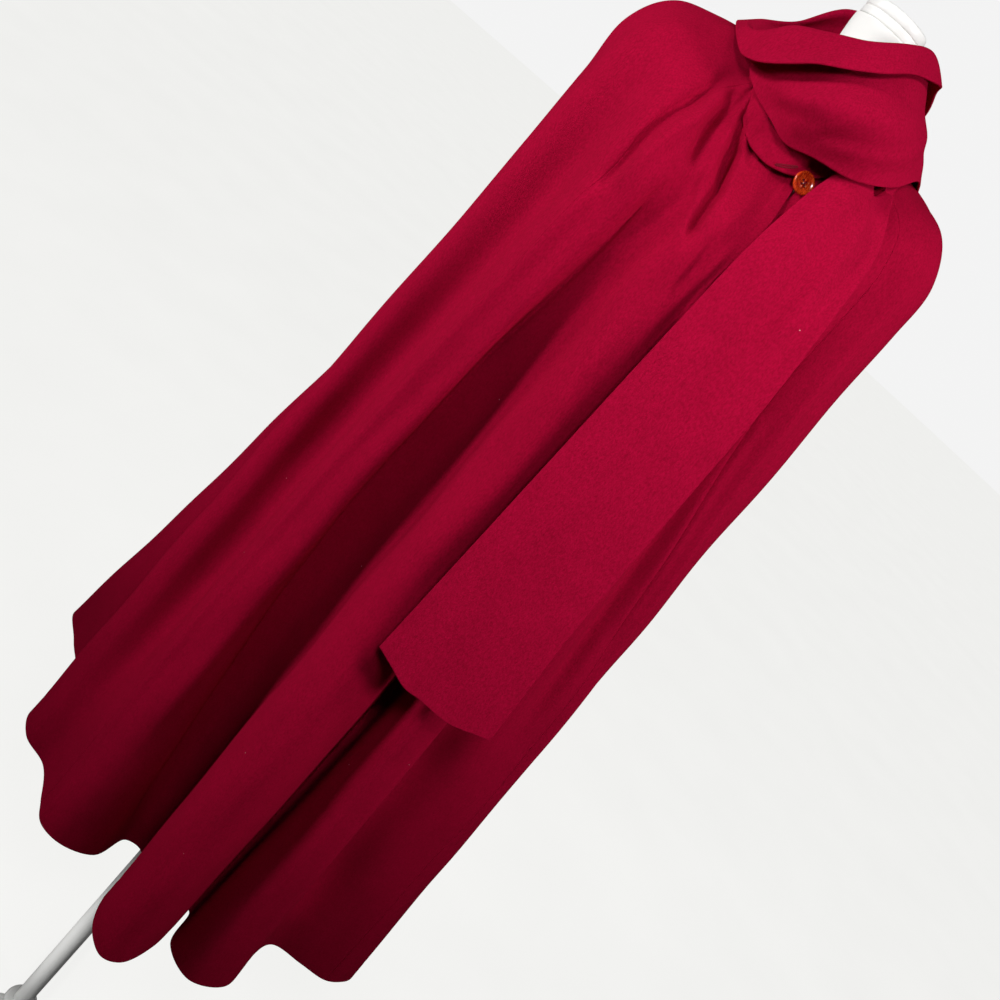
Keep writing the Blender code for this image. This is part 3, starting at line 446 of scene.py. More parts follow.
def milled_wool(name, colour, shade, nap_scale):
    """Milled wool coating: woven, shrunk and brushed, so its weave is closed under a short matt nap.

    The nap's fibres are about 0.1 mm across, and are drawn about 1.6 mm across so that they show. Over them
    lie a faint cloudiness from the milling, about 30 mm across, and a few pale specks of lint.
    """
    material, tree, output = start_material(name)
    place = add_node(tree, "ShaderNodeTexCoord").outputs["Object"]
    combed = add_node(tree, "ShaderNodeMapping", inputs={"Vector": place, "Scale": (1.0, 1.0, 0.45)})
    nap = add_node(tree, "ShaderNodeTexNoise", inputs={
        "Vector": combed.outputs["Vector"], "Scale": nap_scale, "Detail": 3.0, "Roughness": 0.60,
    })
    cloud = add_node(tree, "ShaderNodeTexNoise", inputs={"Vector": place, "Scale": 34.0, "Detail": 3.0})
    both = add_node(tree, "ShaderNodeMath", {"operation": "MULTIPLY_ADD"}, {
        0: nap.outputs["Fac"], 1: 0.86, 2: 0.07,
    })
    blend = add_node(tree, "ShaderNodeMath", {"operation": "MULTIPLY_ADD"}, {
        0: cloud.outputs["Fac"], 1: 0.14, 2: both.outputs[0],
    })
    range_ = add_node(tree, "ShaderNodeMapRange", inputs={
        "Value": blend.outputs[0], "From Min": 0.30, "From Max": 0.76,
    })
    tone = add_node(tree, "ShaderNodeMix", {"data_type": "RGBA"}, {
        0: range_.outputs["Result"], 6: shade, 7: colour,
    })
    specks = add_node(tree, "ShaderNodeTexVoronoi", inputs={
        "Vector": place, "Scale": 42.0, "Randomness": 1.0,
    })
    dot = add_node(tree, "ShaderNodeMath", {"operation": "LESS_THAN"}, {
        0: specks.outputs["Distance"], 1: 0.030,
    })
    rare = add_node(tree, "ShaderNodeSeparateColor", inputs={"Color": specks.outputs["Color"]})
    few = add_node(tree, "ShaderNodeMath", {"operation": "GREATER_THAN"}, {0: rare.outputs["Red"], 1: 0.86})
    lint = add_node(tree, "ShaderNodeMath", {"operation": "MULTIPLY"}, {0: dot.outputs[0], 1: few.outputs[0]})
    faint = add_node(tree, "ShaderNodeMath", {"operation": "MULTIPLY"}, {0: lint.outputs[0], 1: 0.55})
    base = add_node(tree, "ShaderNodeMix", {"data_type": "RGBA"}, {
        0: faint.outputs[0], 6: tone.outputs[2], 7: hex_colour("#E2A0A8"),
    })
    fuzz = add_node(tree, "ShaderNodeTexNoise", inputs={
        "Vector": combed.outputs["Vector"], "Scale": nap_scale * 1.9, "Detail": 4.0, "Roughness": 0.75,
    })
    fine = add_node(tree, "ShaderNodeBump", inputs={
        "Height": fuzz.outputs["Fac"], "Strength": 0.60, "Distance": 0.0010,
    })
    soft = add_node(tree, "ShaderNodeBump", inputs={
        "Height": cloud.outputs["Fac"], "Strength": 0.20, "Distance": 0.0014,
        "Normal": fine.outputs["Normal"],
    })
    shader = add_node(tree, "ShaderNodeBsdfPrincipled", inputs={
        "Base Color": base.outputs[2], "Roughness": 0.95, "Specular IOR Level": 0.03, "Sheen Weight": 0.06,
        "Sheen Roughness": 0.45, "Sheen Tint": hex_colour("#D0103A"), "Normal": soft.outputs["Normal"],
    })
    tree.links.new(shader.outputs["BSDF"], output.inputs["Surface"])
    return material


def twisted_thread(name, colour):
    """Twisted polyester sewing thread: strands 0.35 mm apart, with painted shade in the grooves between them,
    and a slight gloss.
    """
    material, tree, output = start_material(name)
    place = add_node(tree, "ShaderNodeTexCoord").outputs["Object"]
    twist = add_node(tree, "ShaderNodeTexWave", {"bands_direction": "DIAGONAL"}, {
        "Vector": place, "Scale": 900.0, "Distortion": 0.5,
    })
    # The dark crimson is painted shade in the grooves between the strands, not a second colour of thread.
    tone = add_node(tree, "ShaderNodeMix", {"data_type": "RGBA"}, {
        0: twist.outputs["Fac"], 6: hex_colour("#4C0314"), 7: colour,
    })
    groove = add_node(tree, "ShaderNodeBump", inputs={
        "Height": twist.outputs["Fac"], "Strength": 0.6, "Distance": 0.0002,
    })
    shader = add_node(tree, "ShaderNodeBsdfPrincipled", inputs={
        "Base Color": tone.outputs[2], "Roughness": 0.75, "Specular IOR Level": 0.15,
        "Normal": groove.outputs["Normal"],
    })
    tree.links.new(shader.outputs["BSDF"], output.inputs["Surface"])
    return material


def cast_resin(name, colour, streak):
    """Cast polyester resin, polished: translucent red-orange under a gloss.

    Darker streaks, about 1.6 mm across, are drawn out four and a half times as long.
    """
    material, tree, output = start_material(name)
    place = add_node(tree, "ShaderNodeTexCoord").outputs["Object"]
    turned = add_node(tree, "ShaderNodeMapping", inputs={
        "Vector": place, "Rotation": (0.0, math.radians(-35.0), 0.0), "Scale": (1.0, 1.0, 0.22),
    })
    drawn = add_node(tree, "ShaderNodeTexNoise", inputs={
        "Vector": turned.outputs["Vector"], "Scale": 620.0, "Detail": 3.0, "Distortion": 1.6,
    })
    share = add_node(tree, "ShaderNodeMapRange", inputs={
        "Value": drawn.outputs["Fac"], "From Min": 0.40, "From Max": 0.60,
    })
    tone = add_node(tree, "ShaderNodeMix", {"data_type": "RGBA"}, {
        0: share.outputs["Result"], 6: streak, 7: colour,
    })
    shader = add_node(tree, "ShaderNodeBsdfPrincipled", inputs={
        "Base Color": tone.outputs[2], "Roughness": 0.16, "IOR": 1.54, "Transmission Weight": 0.35,
        "Subsurface Weight": 0.25, "Subsurface Radius": (0.004, 0.001, 0.0005), "Subsurface Scale": 1.0,
        "Coat Weight": 0.5, "Coat Roughness": 0.06,
    })
    tree.links.new(shader.outputs["BSDF"], output.inputs["Surface"])
    return material


def knitted_jersey(name, colour):
    """Knitted cotton jersey stretched over the form: matt, with wales 1.3 mm apart so that they show."""
    material, tree, output = start_material(name)
    place = add_node(tree, "ShaderNodeTexCoord").outputs["Object"]
    wales = add_node(tree, "ShaderNodeTexWave", {"bands_direction": "X"}, {
        "Vector": place, "Scale": 240.0, "Distortion": 0.4, "Detail": 1.0, "Detail Scale": 2.0,
    })
    wear = add_node(tree, "ShaderNodeTexNoise", inputs={"Vector": place, "Scale": 9.0, "Detail": 4.0})
    tone = add_node(tree, "ShaderNodeMix", {"data_type": "RGBA"}, {
        0: wear.outputs["Fac"], 6: hex_colour("#E4E3DF"), 7: colour,
    })
    knit = add_node(tree, "ShaderNodeBump", inputs={
        "Height": wales.outputs["Fac"], "Strength": 0.25, "Distance": 0.0003,
    })
    shader = add_node(tree, "ShaderNodeBsdfPrincipled", inputs={
        "Base Color": tone.outputs[2], "Roughness": 0.85, "Specular IOR Level": 0.25,
        "Sheen Weight": 0.15, "Normal": knit.outputs["Normal"],
    })
    tree.links.new(shader.outputs["BSDF"], output.inputs["Surface"])
    return material


def baked_enamel(name, colour):
    """Baked enamel on steel: smooth white, a faint orange-peel ripple 4 mm across and an uneven gloss."""
    material, tree, output = start_material(name)
    place = add_node(tree, "ShaderNodeTexCoord").outputs["Object"]
    peel = add_node(tree, "ShaderNodeTexNoise", inputs={"Vector": place, "Scale": 260.0, "Detail": 2.0})
    hazy = add_node(tree, "ShaderNodeTexNoise", inputs={"Vector": place, "Scale": 14.0, "Detail": 4.0})
    gloss = add_node(tree, "ShaderNodeMapRange", inputs={
        "Value": hazy.outputs["Fac"], "To Min": 0.30, "To Max": 0.46,
    })
    tone = add_node(tree, "ShaderNodeMix", {"data_type": "RGBA"}, {
        0: hazy.outputs["Fac"], 6: hex_colour("#EAEAE7"), 7: colour,
    })
    ripple = add_node(tree, "ShaderNodeBump", inputs={
        "Height": peel.outputs["Fac"], "Strength": 0.12, "Distance": 0.0003,
    })
    shader = add_node(tree, "ShaderNodeBsdfPrincipled", inputs={
        "Base Color": tone.outputs[2], "Roughness": gloss.outputs["Result"],
        "Normal": ripple.outputs["Normal"],
    })
    tree.links.new(shader.outputs["BSDF"], output.inputs["Surface"])
    return material


def seamless_paper(name, colour):
    """Matt seamless paper, pale where it is looked at and dimmer in the light that it throws back."""
    material, tree, output = start_material(name)
    place = add_node(tree, "ShaderNodeTexCoord").outputs["Object"]
    fibre = add_node(tree, "ShaderNodeTexNoise", inputs={"Vector": place, "Scale": 3.0, "Detail": 5.0})
    tone = add_node(tree, "ShaderNodeMix", {"data_type": "RGBA"}, {
        0: fibre.outputs["Fac"], 6: hex_colour("#EFEFED"), 7: colour,
    })
    shader = add_node(tree, "ShaderNodeBsdfPrincipled", inputs={
        "Base Color": tone.outputs[2], "Roughness": 0.95, "Specular IOR Level": 0.1,
    })
    glow = add_node(tree, "ShaderNodeEmission", inputs={"Color": tone.outputs[2], "Strength": 1.16})
    pale = add_node(tree, "ShaderNodeMixShader", inputs={0: 0.84, 1: shader.outputs[0], 2: glow.outputs[0]})
    dim = add_node(tree, "ShaderNodeBsdfDiffuse", inputs={"Color": hex_colour("#707070")})
    seen = add_node(tree, "ShaderNodeLightPath").outputs["Is Camera Ray"]
    both = add_node(tree, "ShaderNodeMixShader", inputs={0: seen, 1: dim.outputs[0], 2: pale.outputs[0]})
    tree.links.new(both.outputs[0], output.inputs["Surface"])
    return material


def finish_piece(mesh, name, material, nodes):
    """Links a mesh as a piece that rides with the part and stands for the CAD nodes named."""
    mesh.materials.append(material)
    piece = bpy.data.objects.new(name, mesh)
    bpy.context.scene.collection.objects.link(piece)
    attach(piece, "root")
    if nodes:
        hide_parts(*nodes)
    return piece


def mesh_from(name, points, faces, sharp=50.0):
    """A smooth-shaded closed mesh from points above the hem, with doubles merged and hard edges marked."""
    placed = np.asarray(points, float) + (*CENTRE_SHIFT, HEM_HEIGHT)
    mesh = bpy.data.meshes.new(name)
    mesh.from_pydata(placed.tolist(), [], faces)
    shape = bmesh.new()
    shape.from_mesh(mesh)
    bmesh.ops.remove_doubles(shape, verts=shape.verts, dist=0.000002)
    shape.to_mesh(mesh)
    shape.free()
    mesh.shade_smooth()
    mesh.set_sharp_from_angle(angle=math.radians(sharp))
    return mesh


def wall_faces(rows, columns):
    """Quads of two facing grids of points and of the four rims that close them."""
    size = rows * columns
    at = np.arange(size).reshape(rows, columns)

    def quads(a):
        return np.stack([a[:-1, :-1], a[1:, :-1], a[1:, 1:], a[:-1, 1:]], axis=-1).reshape(-1, 4)

    def rim(line):
        return np.stack([line[:-1], line[:-1] + size, line[1:] + size, line[1:]], axis=-1)

    faces = [quads(at), quads(at + size)[:, ::-1]]
    faces += [rim(at[0])[:, ::-1], rim(at[-1]), rim(at[:, 0]), rim(at[:, -1])[:, ::-1]]
    return np.concatenate(faces).tolist()


def smooth_step(x):
    """3x^2 - 2x^3 between 0 and 1."""
    x = np.clip(x, 0.0, 1.0)
    return x * x * (3.0 - 2.0 * x)


def curve_between(points, knots, positions):
    """A cubic through points along the first axis, read at positions counted in points.

    Between two points the cubic is Hermite's, and each slope is the mean of the two chords beside it,
    weighted by distance.
    """
    step = np.diff(knots, axis=0)
    rise = np.diff(points, axis=0) / step
    slope = np.empty_like(points)
    slope[0], slope[-1] = rise[0], rise[-1]
    slope[1:-1] = (step[1:] * rise[:-1] + step[:-1] * rise[1:]) / (step[1:] + step[:-1])
    k = np.clip(np.floor(positions).astype(int), 0, len(points) - 2)
    t = (positions - k).reshape((-1,) + (1,) * (points.ndim - 1))
    h = step[k]
    return (
        (1 + 2 * t) * (1 - t) ** 2 * points[k]
        + t * (1 - t) ** 2 * h * slope[k]
        + t * t * (3 - 2 * t) * points[k + 1]
        - t * t * (1 - t) * h * slope[k + 1]
    )


def chord_knots(points):
    """Knots along the first axis spaced by the root of each chord."""
    chords = np.sqrt(np.linalg.norm(np.diff(points, axis=0), axis=-1))
    first = np.zeros((1,) + chords.shape[1:])
    return np.concatenate([first, np.cumsum(chords, axis=0)])[..., None]


def surface_normals(grid):
    """Unit normals of a grid of points: the cross product of its runs down and across."""
    normal = np.cross(np.gradient(grid, axis=0), np.gradient(grid, axis=1))
    return normal / np.maximum(np.linalg.norm(normal, axis=2, keepdims=True), 1e-12)


def ring_points(level, turns, pushes):
    """Points of a level's ring, the superellipse |x/wide|^p + |y/deep|^p = 1, each pushed outwards."""
    _, _, left, right, front, back, z_left, z_right, z_front, z_back = level
    sine, cosine = np.sin(np.radians(turns)), np.cos(np.radians(turns))
    wide, z_side = np.where(sine > 0, right, left), np.where(sine > 0, z_right, z_left)
    deep, z_end = np.where(cosine > 0, front, back), np.where(cosine > 0, z_front, z_back)
    total = np.abs(sine / wide) ** RING_POWER + np.abs(cosine / deep) ** RING_POWER
    radius = total ** (-1.0 / RING_POWER) + pushes
    return np.stack([radius * sine, -radius * cosine, z_side * sine**2 + z_end * cosine**2], axis=-1)


def fold_lines():
    """The points of every fold line at each level, then at the middle and the hem."""
    table = np.array([fold[1:] for fold in FOLDS])
    neck, arm, push = table[:, 0], table[:, 1], table[:, 2]
    rings = []
    for level in LEVELS:
        turns = neck + (arm - neck) * min(level[1] / FULL_TURN_REACH, 1.0)
        pushes = push * min(level[1] / FULL_PUSH_REACH, 1.0)
        rings.append(ring_points(level, turns, pushes))
    middle = np.column_stack([table[:, 3:5], np.full(len(table), MIDDLE_Z)])
    hem = np.column_stack([table[:, 5:7], np.full(len(table), HEM_Z)])
    return np.stack(rings + [middle, hem])


def cape_surface(reaches, places):
    """Points of the cape at reaches down from the neckline and places across counted in folds."""
    lines = fold_lines()
    knots = np.array([level[1] for level in LEVELS] + [MIDDLE_REACH, HEM_REACH])
    rows = curve_between(lines, knots[:, None, None], np.interp(reaches, knots, np.arange(len(knots))))
    across = rows.transpose(1, 0, 2)
    return curve_between(across, chord_knots(across), places).transpose(1, 0, 2)


def arc_lengths(surface):
    """Length along each row of a grid of points from its first column."""
    steps = np.linalg.norm(np.diff(surface, axis=1), axis=2)
    return np.concatenate([np.zeros((len(surface), 1)), np.cumsum(steps, axis=1)], axis=1)


def crease_relief(creases, along, across, marks, arcs):
    """Height of the creases over a grid whose rows' arc lengths are known at marks across.

    A crease is a line across(along) through its points. At a distance d from it, measured over the surface
    along its own row, the height is depth * exp(-(d / width)^2), with one width on each side. It rises and
    fades over a quarter of the crease's length at each end.
    """
    k = np.clip(np.searchsorted(marks, across) - 1, 0, len(marks) - 2)
    share = (across - marks[k]) / (marks[k + 1] - marks[k])
    here = arcs[:, k] * (1.0 - share) + arcs[:, k + 1] * share
    rows = np.arange(len(along))
    relief = np.zeros_like(here)
    for _, depth, low_width, high_width, *points in creases:
        where, reach = np.array(points).T
        line = np.interp(along, reach, where)
        k = np.clip(np.searchsorted(marks, line) - 1, 0, len(marks) - 2)
        share = (line - marks[k]) / (marks[k + 1] - marks[k])
        centre = arcs[rows, k] * (1.0 - share) + arcs[rows, k + 1] * share
        reached = (along - reach[0]) / (reach[-1] - reach[0])
        starts = 1.0 if reach[0] <= along[0] + 1e-6 else smooth_step(reached * 4.0)
        ends = 1.0 if reach[-1] >= along[-1] - 1e-6 else smooth_step((1.0 - reached) * 4.0)
        inside = (reached >= 0.0) & (reached <= 1.0)
        distance = here - centre[:, None]
        width = np.where(distance < 0.0, low_width, high_width)
        relief += (depth * starts * ends * inside)[:, None] * np.exp(-((distance / width) ** 2))
    return relief


def soft_swells(down, over, height, seed):
    """Broad uneven swells: a sum of eight slow sine waves with seeded lengths, directions and phases.

    Each wave is sin(2 pi (down / length + over / width) + phase), with down and over in metres.
    """
    draw = np.random.default_rng(seed)
    total = np.zeros(np.broadcast(down, over).shape)
    for _ in range(8):
        length, width = draw.uniform(0.16, 0.60), draw.choice((-1.0, 1.0)) * draw.uniform(0.05, 0.16)
        total += np.sin(2 * math.pi * (down / length + over / width) + draw.uniform(0.0, 2 * math.pi))
    return height * total / 3.0


def rounded_half(distance, thickness):
    """Half the wall's thickness at a distance from its edge, as a quarter circle."""
    near = np.clip(distance / (thickness / 2), 0.0, 1.0)
    return thickness / 2 * np.sqrt(1.0 - (1.0 - near) ** 2)


def wall_mesh(name, middle, normals, outer_half, inner_half):
    """A closed wall whose two faces lie half a thickness each side of its middle surface."""
    outer = middle + normals * outer_half[..., None]
    inner = middle - normals * inner_half[..., None]
    points = np.concatenate([outer.reshape(-1, 3), inner.reshape(-1, 3)])
    return mesh_from(name, points, wall_faces(*middle.shape[:2]))


def edge_places(first, last, count, spacing, thickness):
    """Places from first to last, close together by each edge where the wall is rounded."""
    near = np.array([0.0, 0.12, 0.35, 0.7, 1.0, 1.8, 3.0, 4.6]) * thickness / 2 / spacing
    inner = np.linspace(first, last, count)
    inner = inner[(inner > first + near[-1] * 1.3) & (inner < last - near[-1] * 1.3)]
    return np.concatenate([first + near, inner, (last - near)[::-1]])


def cape_reaches():
    """Reaches down the cape: close at the neckline's gathers and at the hem's rounded edge."""
    top = np.concatenate([[0.0, 0.0002, 0.0005, 0.0010], np.linspace(0.002, 0.30, 76)])
    low = np.linspace(0.308, HEM_REACH - 0.006, 124)
    hem = HEM_REACH - np.array([0.0045, 0.0030, 0.0020, 0.0014, 0.0010, 0.0006, 0.0003, 0.0001, 0.0])
    return np.concatenate([top, low, hem])


def neck_gathers(reaches, places, height, fade):
    """Small gathers under the neck band: uneven waves round the neckline that die away down the cloth.

    height * w * exp(-(reach / fade)^1.3), where w is a sine whose phase wanders with the place. The right
    front's gathers are drawn into a few large ones, so there the small ones are a third as high.
    """
    phase = 2.1 * places + 0.9 * np.sin(0.83 * places + 0.4) + 0.5 * np.sin(2.3 * places)
    wave = 0.75 * np.sin(2.0 * phase) + 0.4 * np.sin(3.3 * phase + 1.1)
    wave *= 1.0 - 0.7 * smooth_step((places - 31.0) / 3.0)
    return height * wave[None, :] * np.exp(-((reaches[:, None] / fade) ** 1.3))


def cape_relief(reaches, places, settings):
    """Creases, gathers, swells and the hem's dimpled line over the cape, none of it near the hidden lap."""
    marks = np.linspace(0.0, len(FOLDS) - 1.0, 10 * len(FOLDS) - 9)
    arcs = arc_lengths(cape_surface(reaches, marks))
    relief = crease_relief(CAPE_CREASES, reaches, places, marks, arcs)
    relief += neck_gathers(reaches, places, settings.gather_height, settings.gather_fade)
    relief += soft_swells(reaches[:, None], places[None, :] * FOLD_SPACING, settings.unevenness, 11)
    hem_line = np.exp(-(((HEM_REACH - settings.hem_depth - reaches) / HEM_STEP) ** 2))
    dimples = 0.6 + 0.4 * np.sin(9.0 * places)
    relief -= HEM_DIMPLE * hem_line[:, None] * dimples[None, :]
    lap = smooth_step(np.minimum(places, len(FOLDS) - 1 - places) / 1.6)
    return relief * lap[None, :]


def slit_relief(reaches, places, spacing, seam):
    """The arm slit's two turned edges: each stands 1.6 mm proud in a 5 mm wide roll beside the seam."""
    distance = np.abs(places - seam)[None, :] * spacing
    open_share = smooth_step((reaches - SLIT_TOP) / 0.02) * smooth_step((SLIT_BOTTOM - reaches) / 0.02)
    return SLIT_HEIGHT * open_share[:, None] * np.exp(-(((distance - SLIT_ROLL) / 0.0035) ** 2))


def build_panel(row, settings, material):
    """One panel of the cape: its surface, its relief and a wall that thickens at the turned-up hem."""
    name, first, last, width, length, area, support = row
    start, stop = FOLD_ORDER.index(first), FOLD_ORDER.index(last)
    reaches = cape_reaches()
    gap = settings.seam_gap / 2 / FOLD_SPACING
    places = edge_places(start + gap, stop - gap, (stop - start) * 10 + 1, FOLD_SPACING, CLOTH)
    outer = cape_surface(reaches, places)
    normals = surface_normals(outer)
    spacing = np.linalg.norm(np.gradient(outer, axis=1), axis=2) / np.gradient(places)
    relief = cape_relief(reaches, places, settings)
    if name in ("front_left", "side_left"):
        relief += slit_relief(reaches, places, spacing, FOLD_ORDER.index("left_seam"))
    sides = np.minimum(places - places[0], places[-1] - places)[None, :] * spacing
    ends = np.minimum(reaches, HEM_REACH - reaches)[:, None]
    half = rounded_half(ends, CLOTH)
    if "front" in name:
        free = places - places[0] if name == "front_left" else places[-1] - places
        half = np.minimum(half, rounded_half(free[None, :] * spacing, CLOTH))
    half = half * (1.0 - settings.seam_dip * np.exp(-((sides / SEAM_WIDTH) ** 2)))
    hem_start = HEM_REACH - settings.hem_depth
    turned = settings.hem_fullness * smooth_step((reaches - hem_start) / HEM_STEP)[:, None]
    middle = outer + normals * (relief - CLOTH / 2)[..., None]
    mesh = wall_mesh(f"cape_{name}", middle, normals, half, half + turned * (half / (CLOTH / 2)))
    piece = finish_piece(mesh, f"cape_{name}", material, [name])
    return piece


def section_points(sections):
    """Six points across every section: low edge, body, three round the roll at its top, turned edge.

    Where the cloth hangs flat, the three points spread out, so that it bends gently there.
    """
    low, body, top, turned = sections.reshape(-1, 4, 3).transpose(1, 0, 2)
    back = (body - top) / np.linalg.norm(body - top, axis=1, keepdims=True)
    on = turned - top
    along_back = np.sum(on * back, axis=1, keepdims=True)
    length = np.linalg.norm(on, axis=1, keepdims=True)
    folded = along_back / length
    side = on - along_back * back
    side *= ROLL_RADIUS * (1.0 + folded) / 2.0 / np.linalg.norm(side, axis=1, keepdims=True)
    flat = smooth_step((-folded - 0.5) / 0.4)
    spread = ROLL_RADIUS + (FLAT_SPREAD - ROLL_RADIUS) * flat
    before = top + back * spread - side
    after = top + (back * folded * (1.0 - flat) + on / length * flat) * spread + side
    return np.stack([low, body, before, top, after, turned], axis=1)


def scarf_surface(stations, places):
    """Points of the scarf at stations along it and places across it, both counted in table points."""
    sections = section_points(np.array([station[1:] for station in SCARF]))
    knots = chord_knots(sections.mean(axis=1))
    rows = curve_between(sections, knots[:, :, None], stations)
    across = rows.transpose(1, 0, 2)
    return curve_between(across, chord_knots(across), places).transpose(1, 0, 2)


def build_stretch(row, settings, material):
    """One stretch of the scarf. Its long edges and the tails' ends are rounded, and a join is square."""
    name, first, last, width, length, area, held, support = row
    start, stop = STATION_ORDER.index(first), STATION_ORDER.index(last)
    stations = np.linspace(start, stop, (stop - start) * 14 + 1)
    end_steps = np.array([0.002, 0.005, 0.009, 0.016, 0.03])
    free_start, free_stop = start == 0, stop == len(SCARF) - 1
    if free_start:
        stations = np.concatenate([[0.0], end_steps, stations[1:]])
    if free_stop:
        stations = np.concatenate([stations[:-1], (stop - end_steps)[::-1], [float(stop)]])
    places = np.concatenate([
        [0.0, 0.004, 0.012, 0.024, 0.045], np.linspace(0.08, 2.0, 26), np.linspace(2.08, 4.0, 25),
        np.linspace(4.08, 4.92, 12), [4.955, 4.976, 4.988, 4.996, 5.0],
    ])
    outer = scarf_surface(stations, places)
    normals = surface_normals(outer)
    spacing = np.linalg.norm(np.gradient(outer, axis=1), axis=2) / np.gradient(places)
    running = np.linalg.norm(np.gradient(outer, axis=0), axis=2) / np.gradient(stations)[:, None]
    arc = arc_lengths(outer)
    relief = crease_relief(SCARF_CREASES, stations, places, places, arc)
    relief += soft_swells(stations[:, None] * STATION_SPACING, arc, settings.swell, 23)
    cut = arc.mean(axis=0)
    distance = np.broadcast_to(np.minimum(cut, cut[-1] - cut)[None, :], spacing.shape).copy()
    if free_start:
        distance = np.minimum(distance, (stations - start)[:, None] * running)
    if free_stop:
        distance = np.minimum(distance, (stop - stations)[:, None] * running)
    half = rounded_half(distance, SCARF_CLOTH)
    middle = outer + normals * (relief - SCARF_CLOTH / 2)[..., None]
    mesh = wall_mesh(name + "_cloth", middle, normals, half, half)
    piece = finish_piece(mesh, name + "_cloth", material, [name])
    return piece


# The neck band: where it starts and ends, in degrees of turn, how far its right end stands off the left one,
# its height, how far it stands off the neckline, and how far it hangs below it.
BAND_START, BAND_END = 8.0, 395.0
BAND_LAP = 0.0090
BAND_HEIGHT = 0.024
BAND_CLEAR = 0.0036
BAND_OVERHANG = 0.0030

# The length of neckline in one degree of turn, and how far the edge stitching lies from the band's edges.
TURN_LENGTH = 0.0013
STITCH_INSET = 0.005


def band_surface(turns, shares):
    """Points of the neck band's outer face: a strip that leans in from the neckline, lapped at its end."""
    low = ring_points(LEVELS[0], turns, 0.0)
    lap = BAND_LAP * np.clip((turns - 320.0) / 50.0, 0.0, 1.0)
    out = low * (1.0, 1.0, 0.0)
    out /= np.linalg.norm(out, axis=1, keepdims=True)
    lean = np.array([0.0, 0.0, 1.0]) - 0.25 * out
    lean /= np.linalg.norm(lean, axis=1, keepdims=True)
    base = low + out * (BAND_CLEAR + lap)[:, None] - lean * BAND_OVERHANG
    height = BAND_HEIGHT + BAND_OVERHANG
    return base[None] + lean[None] * height * shares[:, None, None]


def build_band(material):
    """The neck band with rounded edges, a line of edge stitching and puckers where the cape is set in."""
    turns = edge_places(BAND_START, BAND_END, 260, TURN_LENGTH, BAND_CLOTH)
    shares = 1.0 - edge_places(0.0, 1.0, 16, BAND_HEIGHT, BAND_CLOTH)
    outer = band_surface(turns, shares)
    normals = surface_normals(outer)
    across = np.minimum(shares, 1.0 - shares)[:, None] * BAND_HEIGHT
    around = np.minimum(turns - turns[0], turns[-1] - turns)[None, :] * TURN_LENGTH
    half = rounded_half(np.minimum(across, around), BAND_CLOTH)
    stitch = np.exp(-(((across - STITCH_INSET) / 0.0009) ** 2))
    stitch = stitch * (0.5 + 0.5 * np.sign(np.sin(turns * 9.0)))[None, :]
    pucker = 0.0007 * np.sin(turns * 0.55 + 1.2 * np.sin(turns * 0.13))[None, :] * (1.0 - shares[:, None])
    middle = outer + normals * (pucker - 0.0005 * stitch - BAND_CLOTH / 2)[..., None]
    mesh = wall_mesh("cape_neck_band", middle, normals, half, half)
    piece = finish_piece(mesh, "cape_neck_band", material, ["neck_band"])
    return piece


def ring_faces(count, sides, closed=False):
    """Quads between rings one after the other, and a cap at each end unless the last joins the first."""
    at = np.arange(count * sides).reshape(count, sides)
    after = np.roll(at, -1, axis=0) if closed else at[1:]
    before = at if closed else at[:-1]
    quads = np.stack([before, np.roll(before, -1, axis=1), np.roll(after, -1, axis=1), after], axis=-1)
    caps = [] if closed else [at[0][::-1].tolist(), at[-1].tolist()]
    return quads.reshape(-1, 4).tolist() + caps


def tube_points(path, radius, sides, closed=False):
    """Points and faces of a tube: circles round a path in the plane of two normals to it.

    The first normal is the cross product of the path's run and one fixed direction.
    """
    run = np.gradient(path, axis=0)
    if closed:
        run = np.roll(path, -1, axis=0) - np.roll(path, 1, axis=0)
    run /= np.linalg.norm(run, axis=1, keepdims=True)
    side = np.cross(run, (0.31, 0.62, 0.72))
    side /= np.linalg.norm(side, axis=1, keepdims=True)
    rise = np.cross(side, run)
    angle = np.linspace(0.0, 2 * math.pi, sides, endpoint=False)[None, :, None]
    size = np.broadcast_to(np.asarray(radius, float), (len(path),))[:, None, None]
    rings = path[:, None] + size * (np.cos(angle) * side[:, None] + np.sin(angle) * rise[:, None])
    return rings.reshape(-1, 3), ring_faces(len(path), sides, closed)


# The buttonhole: its ends in degrees of turn and as shares of the band's height, its stitches, and how far
# its whipped edge stands off the band.
BUTTONHOLE_TURNS = (367.0, 377.0)
BUTTONHOLE_SHARES = (0.14, 0.34)
BUTTONHOLE_STITCHES = 40
BUTTONHOLE_STAND = 0.0003


def build_buttonhole(thread):
    """The worked buttonhole: a closed loop of whip stitches round the slit, lying on the band.

    The loop is a long oval on the band's surface. Its radius swells and narrows once for each stitch.
    """
    steps = np.linspace(0.0, 2 * math.pi, 240, endpoint=False)
    along = 0.5 + 0.5 * np.cos(steps)
    turns = BUTTONHOLE_TURNS[0] + (BUTTONHOLE_TURNS[1] - BUTTONHOLE_TURNS[0]) * along
    centre = BUTTONHOLE_SHARES[0] + (BUTTONHOLE_SHARES[1] - BUTTONHOLE_SHARES[0]) * along
    shares = centre + 0.045 * np.sin(steps)
    face = band_surface(turns, shares)
    path = face[np.arange(len(steps)), np.arange(len(steps))]
    outward = surface_normals(band_surface(np.sort(turns), np.linspace(1.0, 0.0, 5)))[2].mean(axis=0)
    path = path + outward / np.linalg.norm(outward) * BUTTONHOLE_STAND
    radius = 0.00075 + 0.00015 * np.cos(steps * BUTTONHOLE_STITCHES)
    mesh = mesh_from("cape_buttonhole", *tube_points(path, radius, 10, closed=True))
    return finish_piece(mesh, "cape_buttonhole", thread, [])


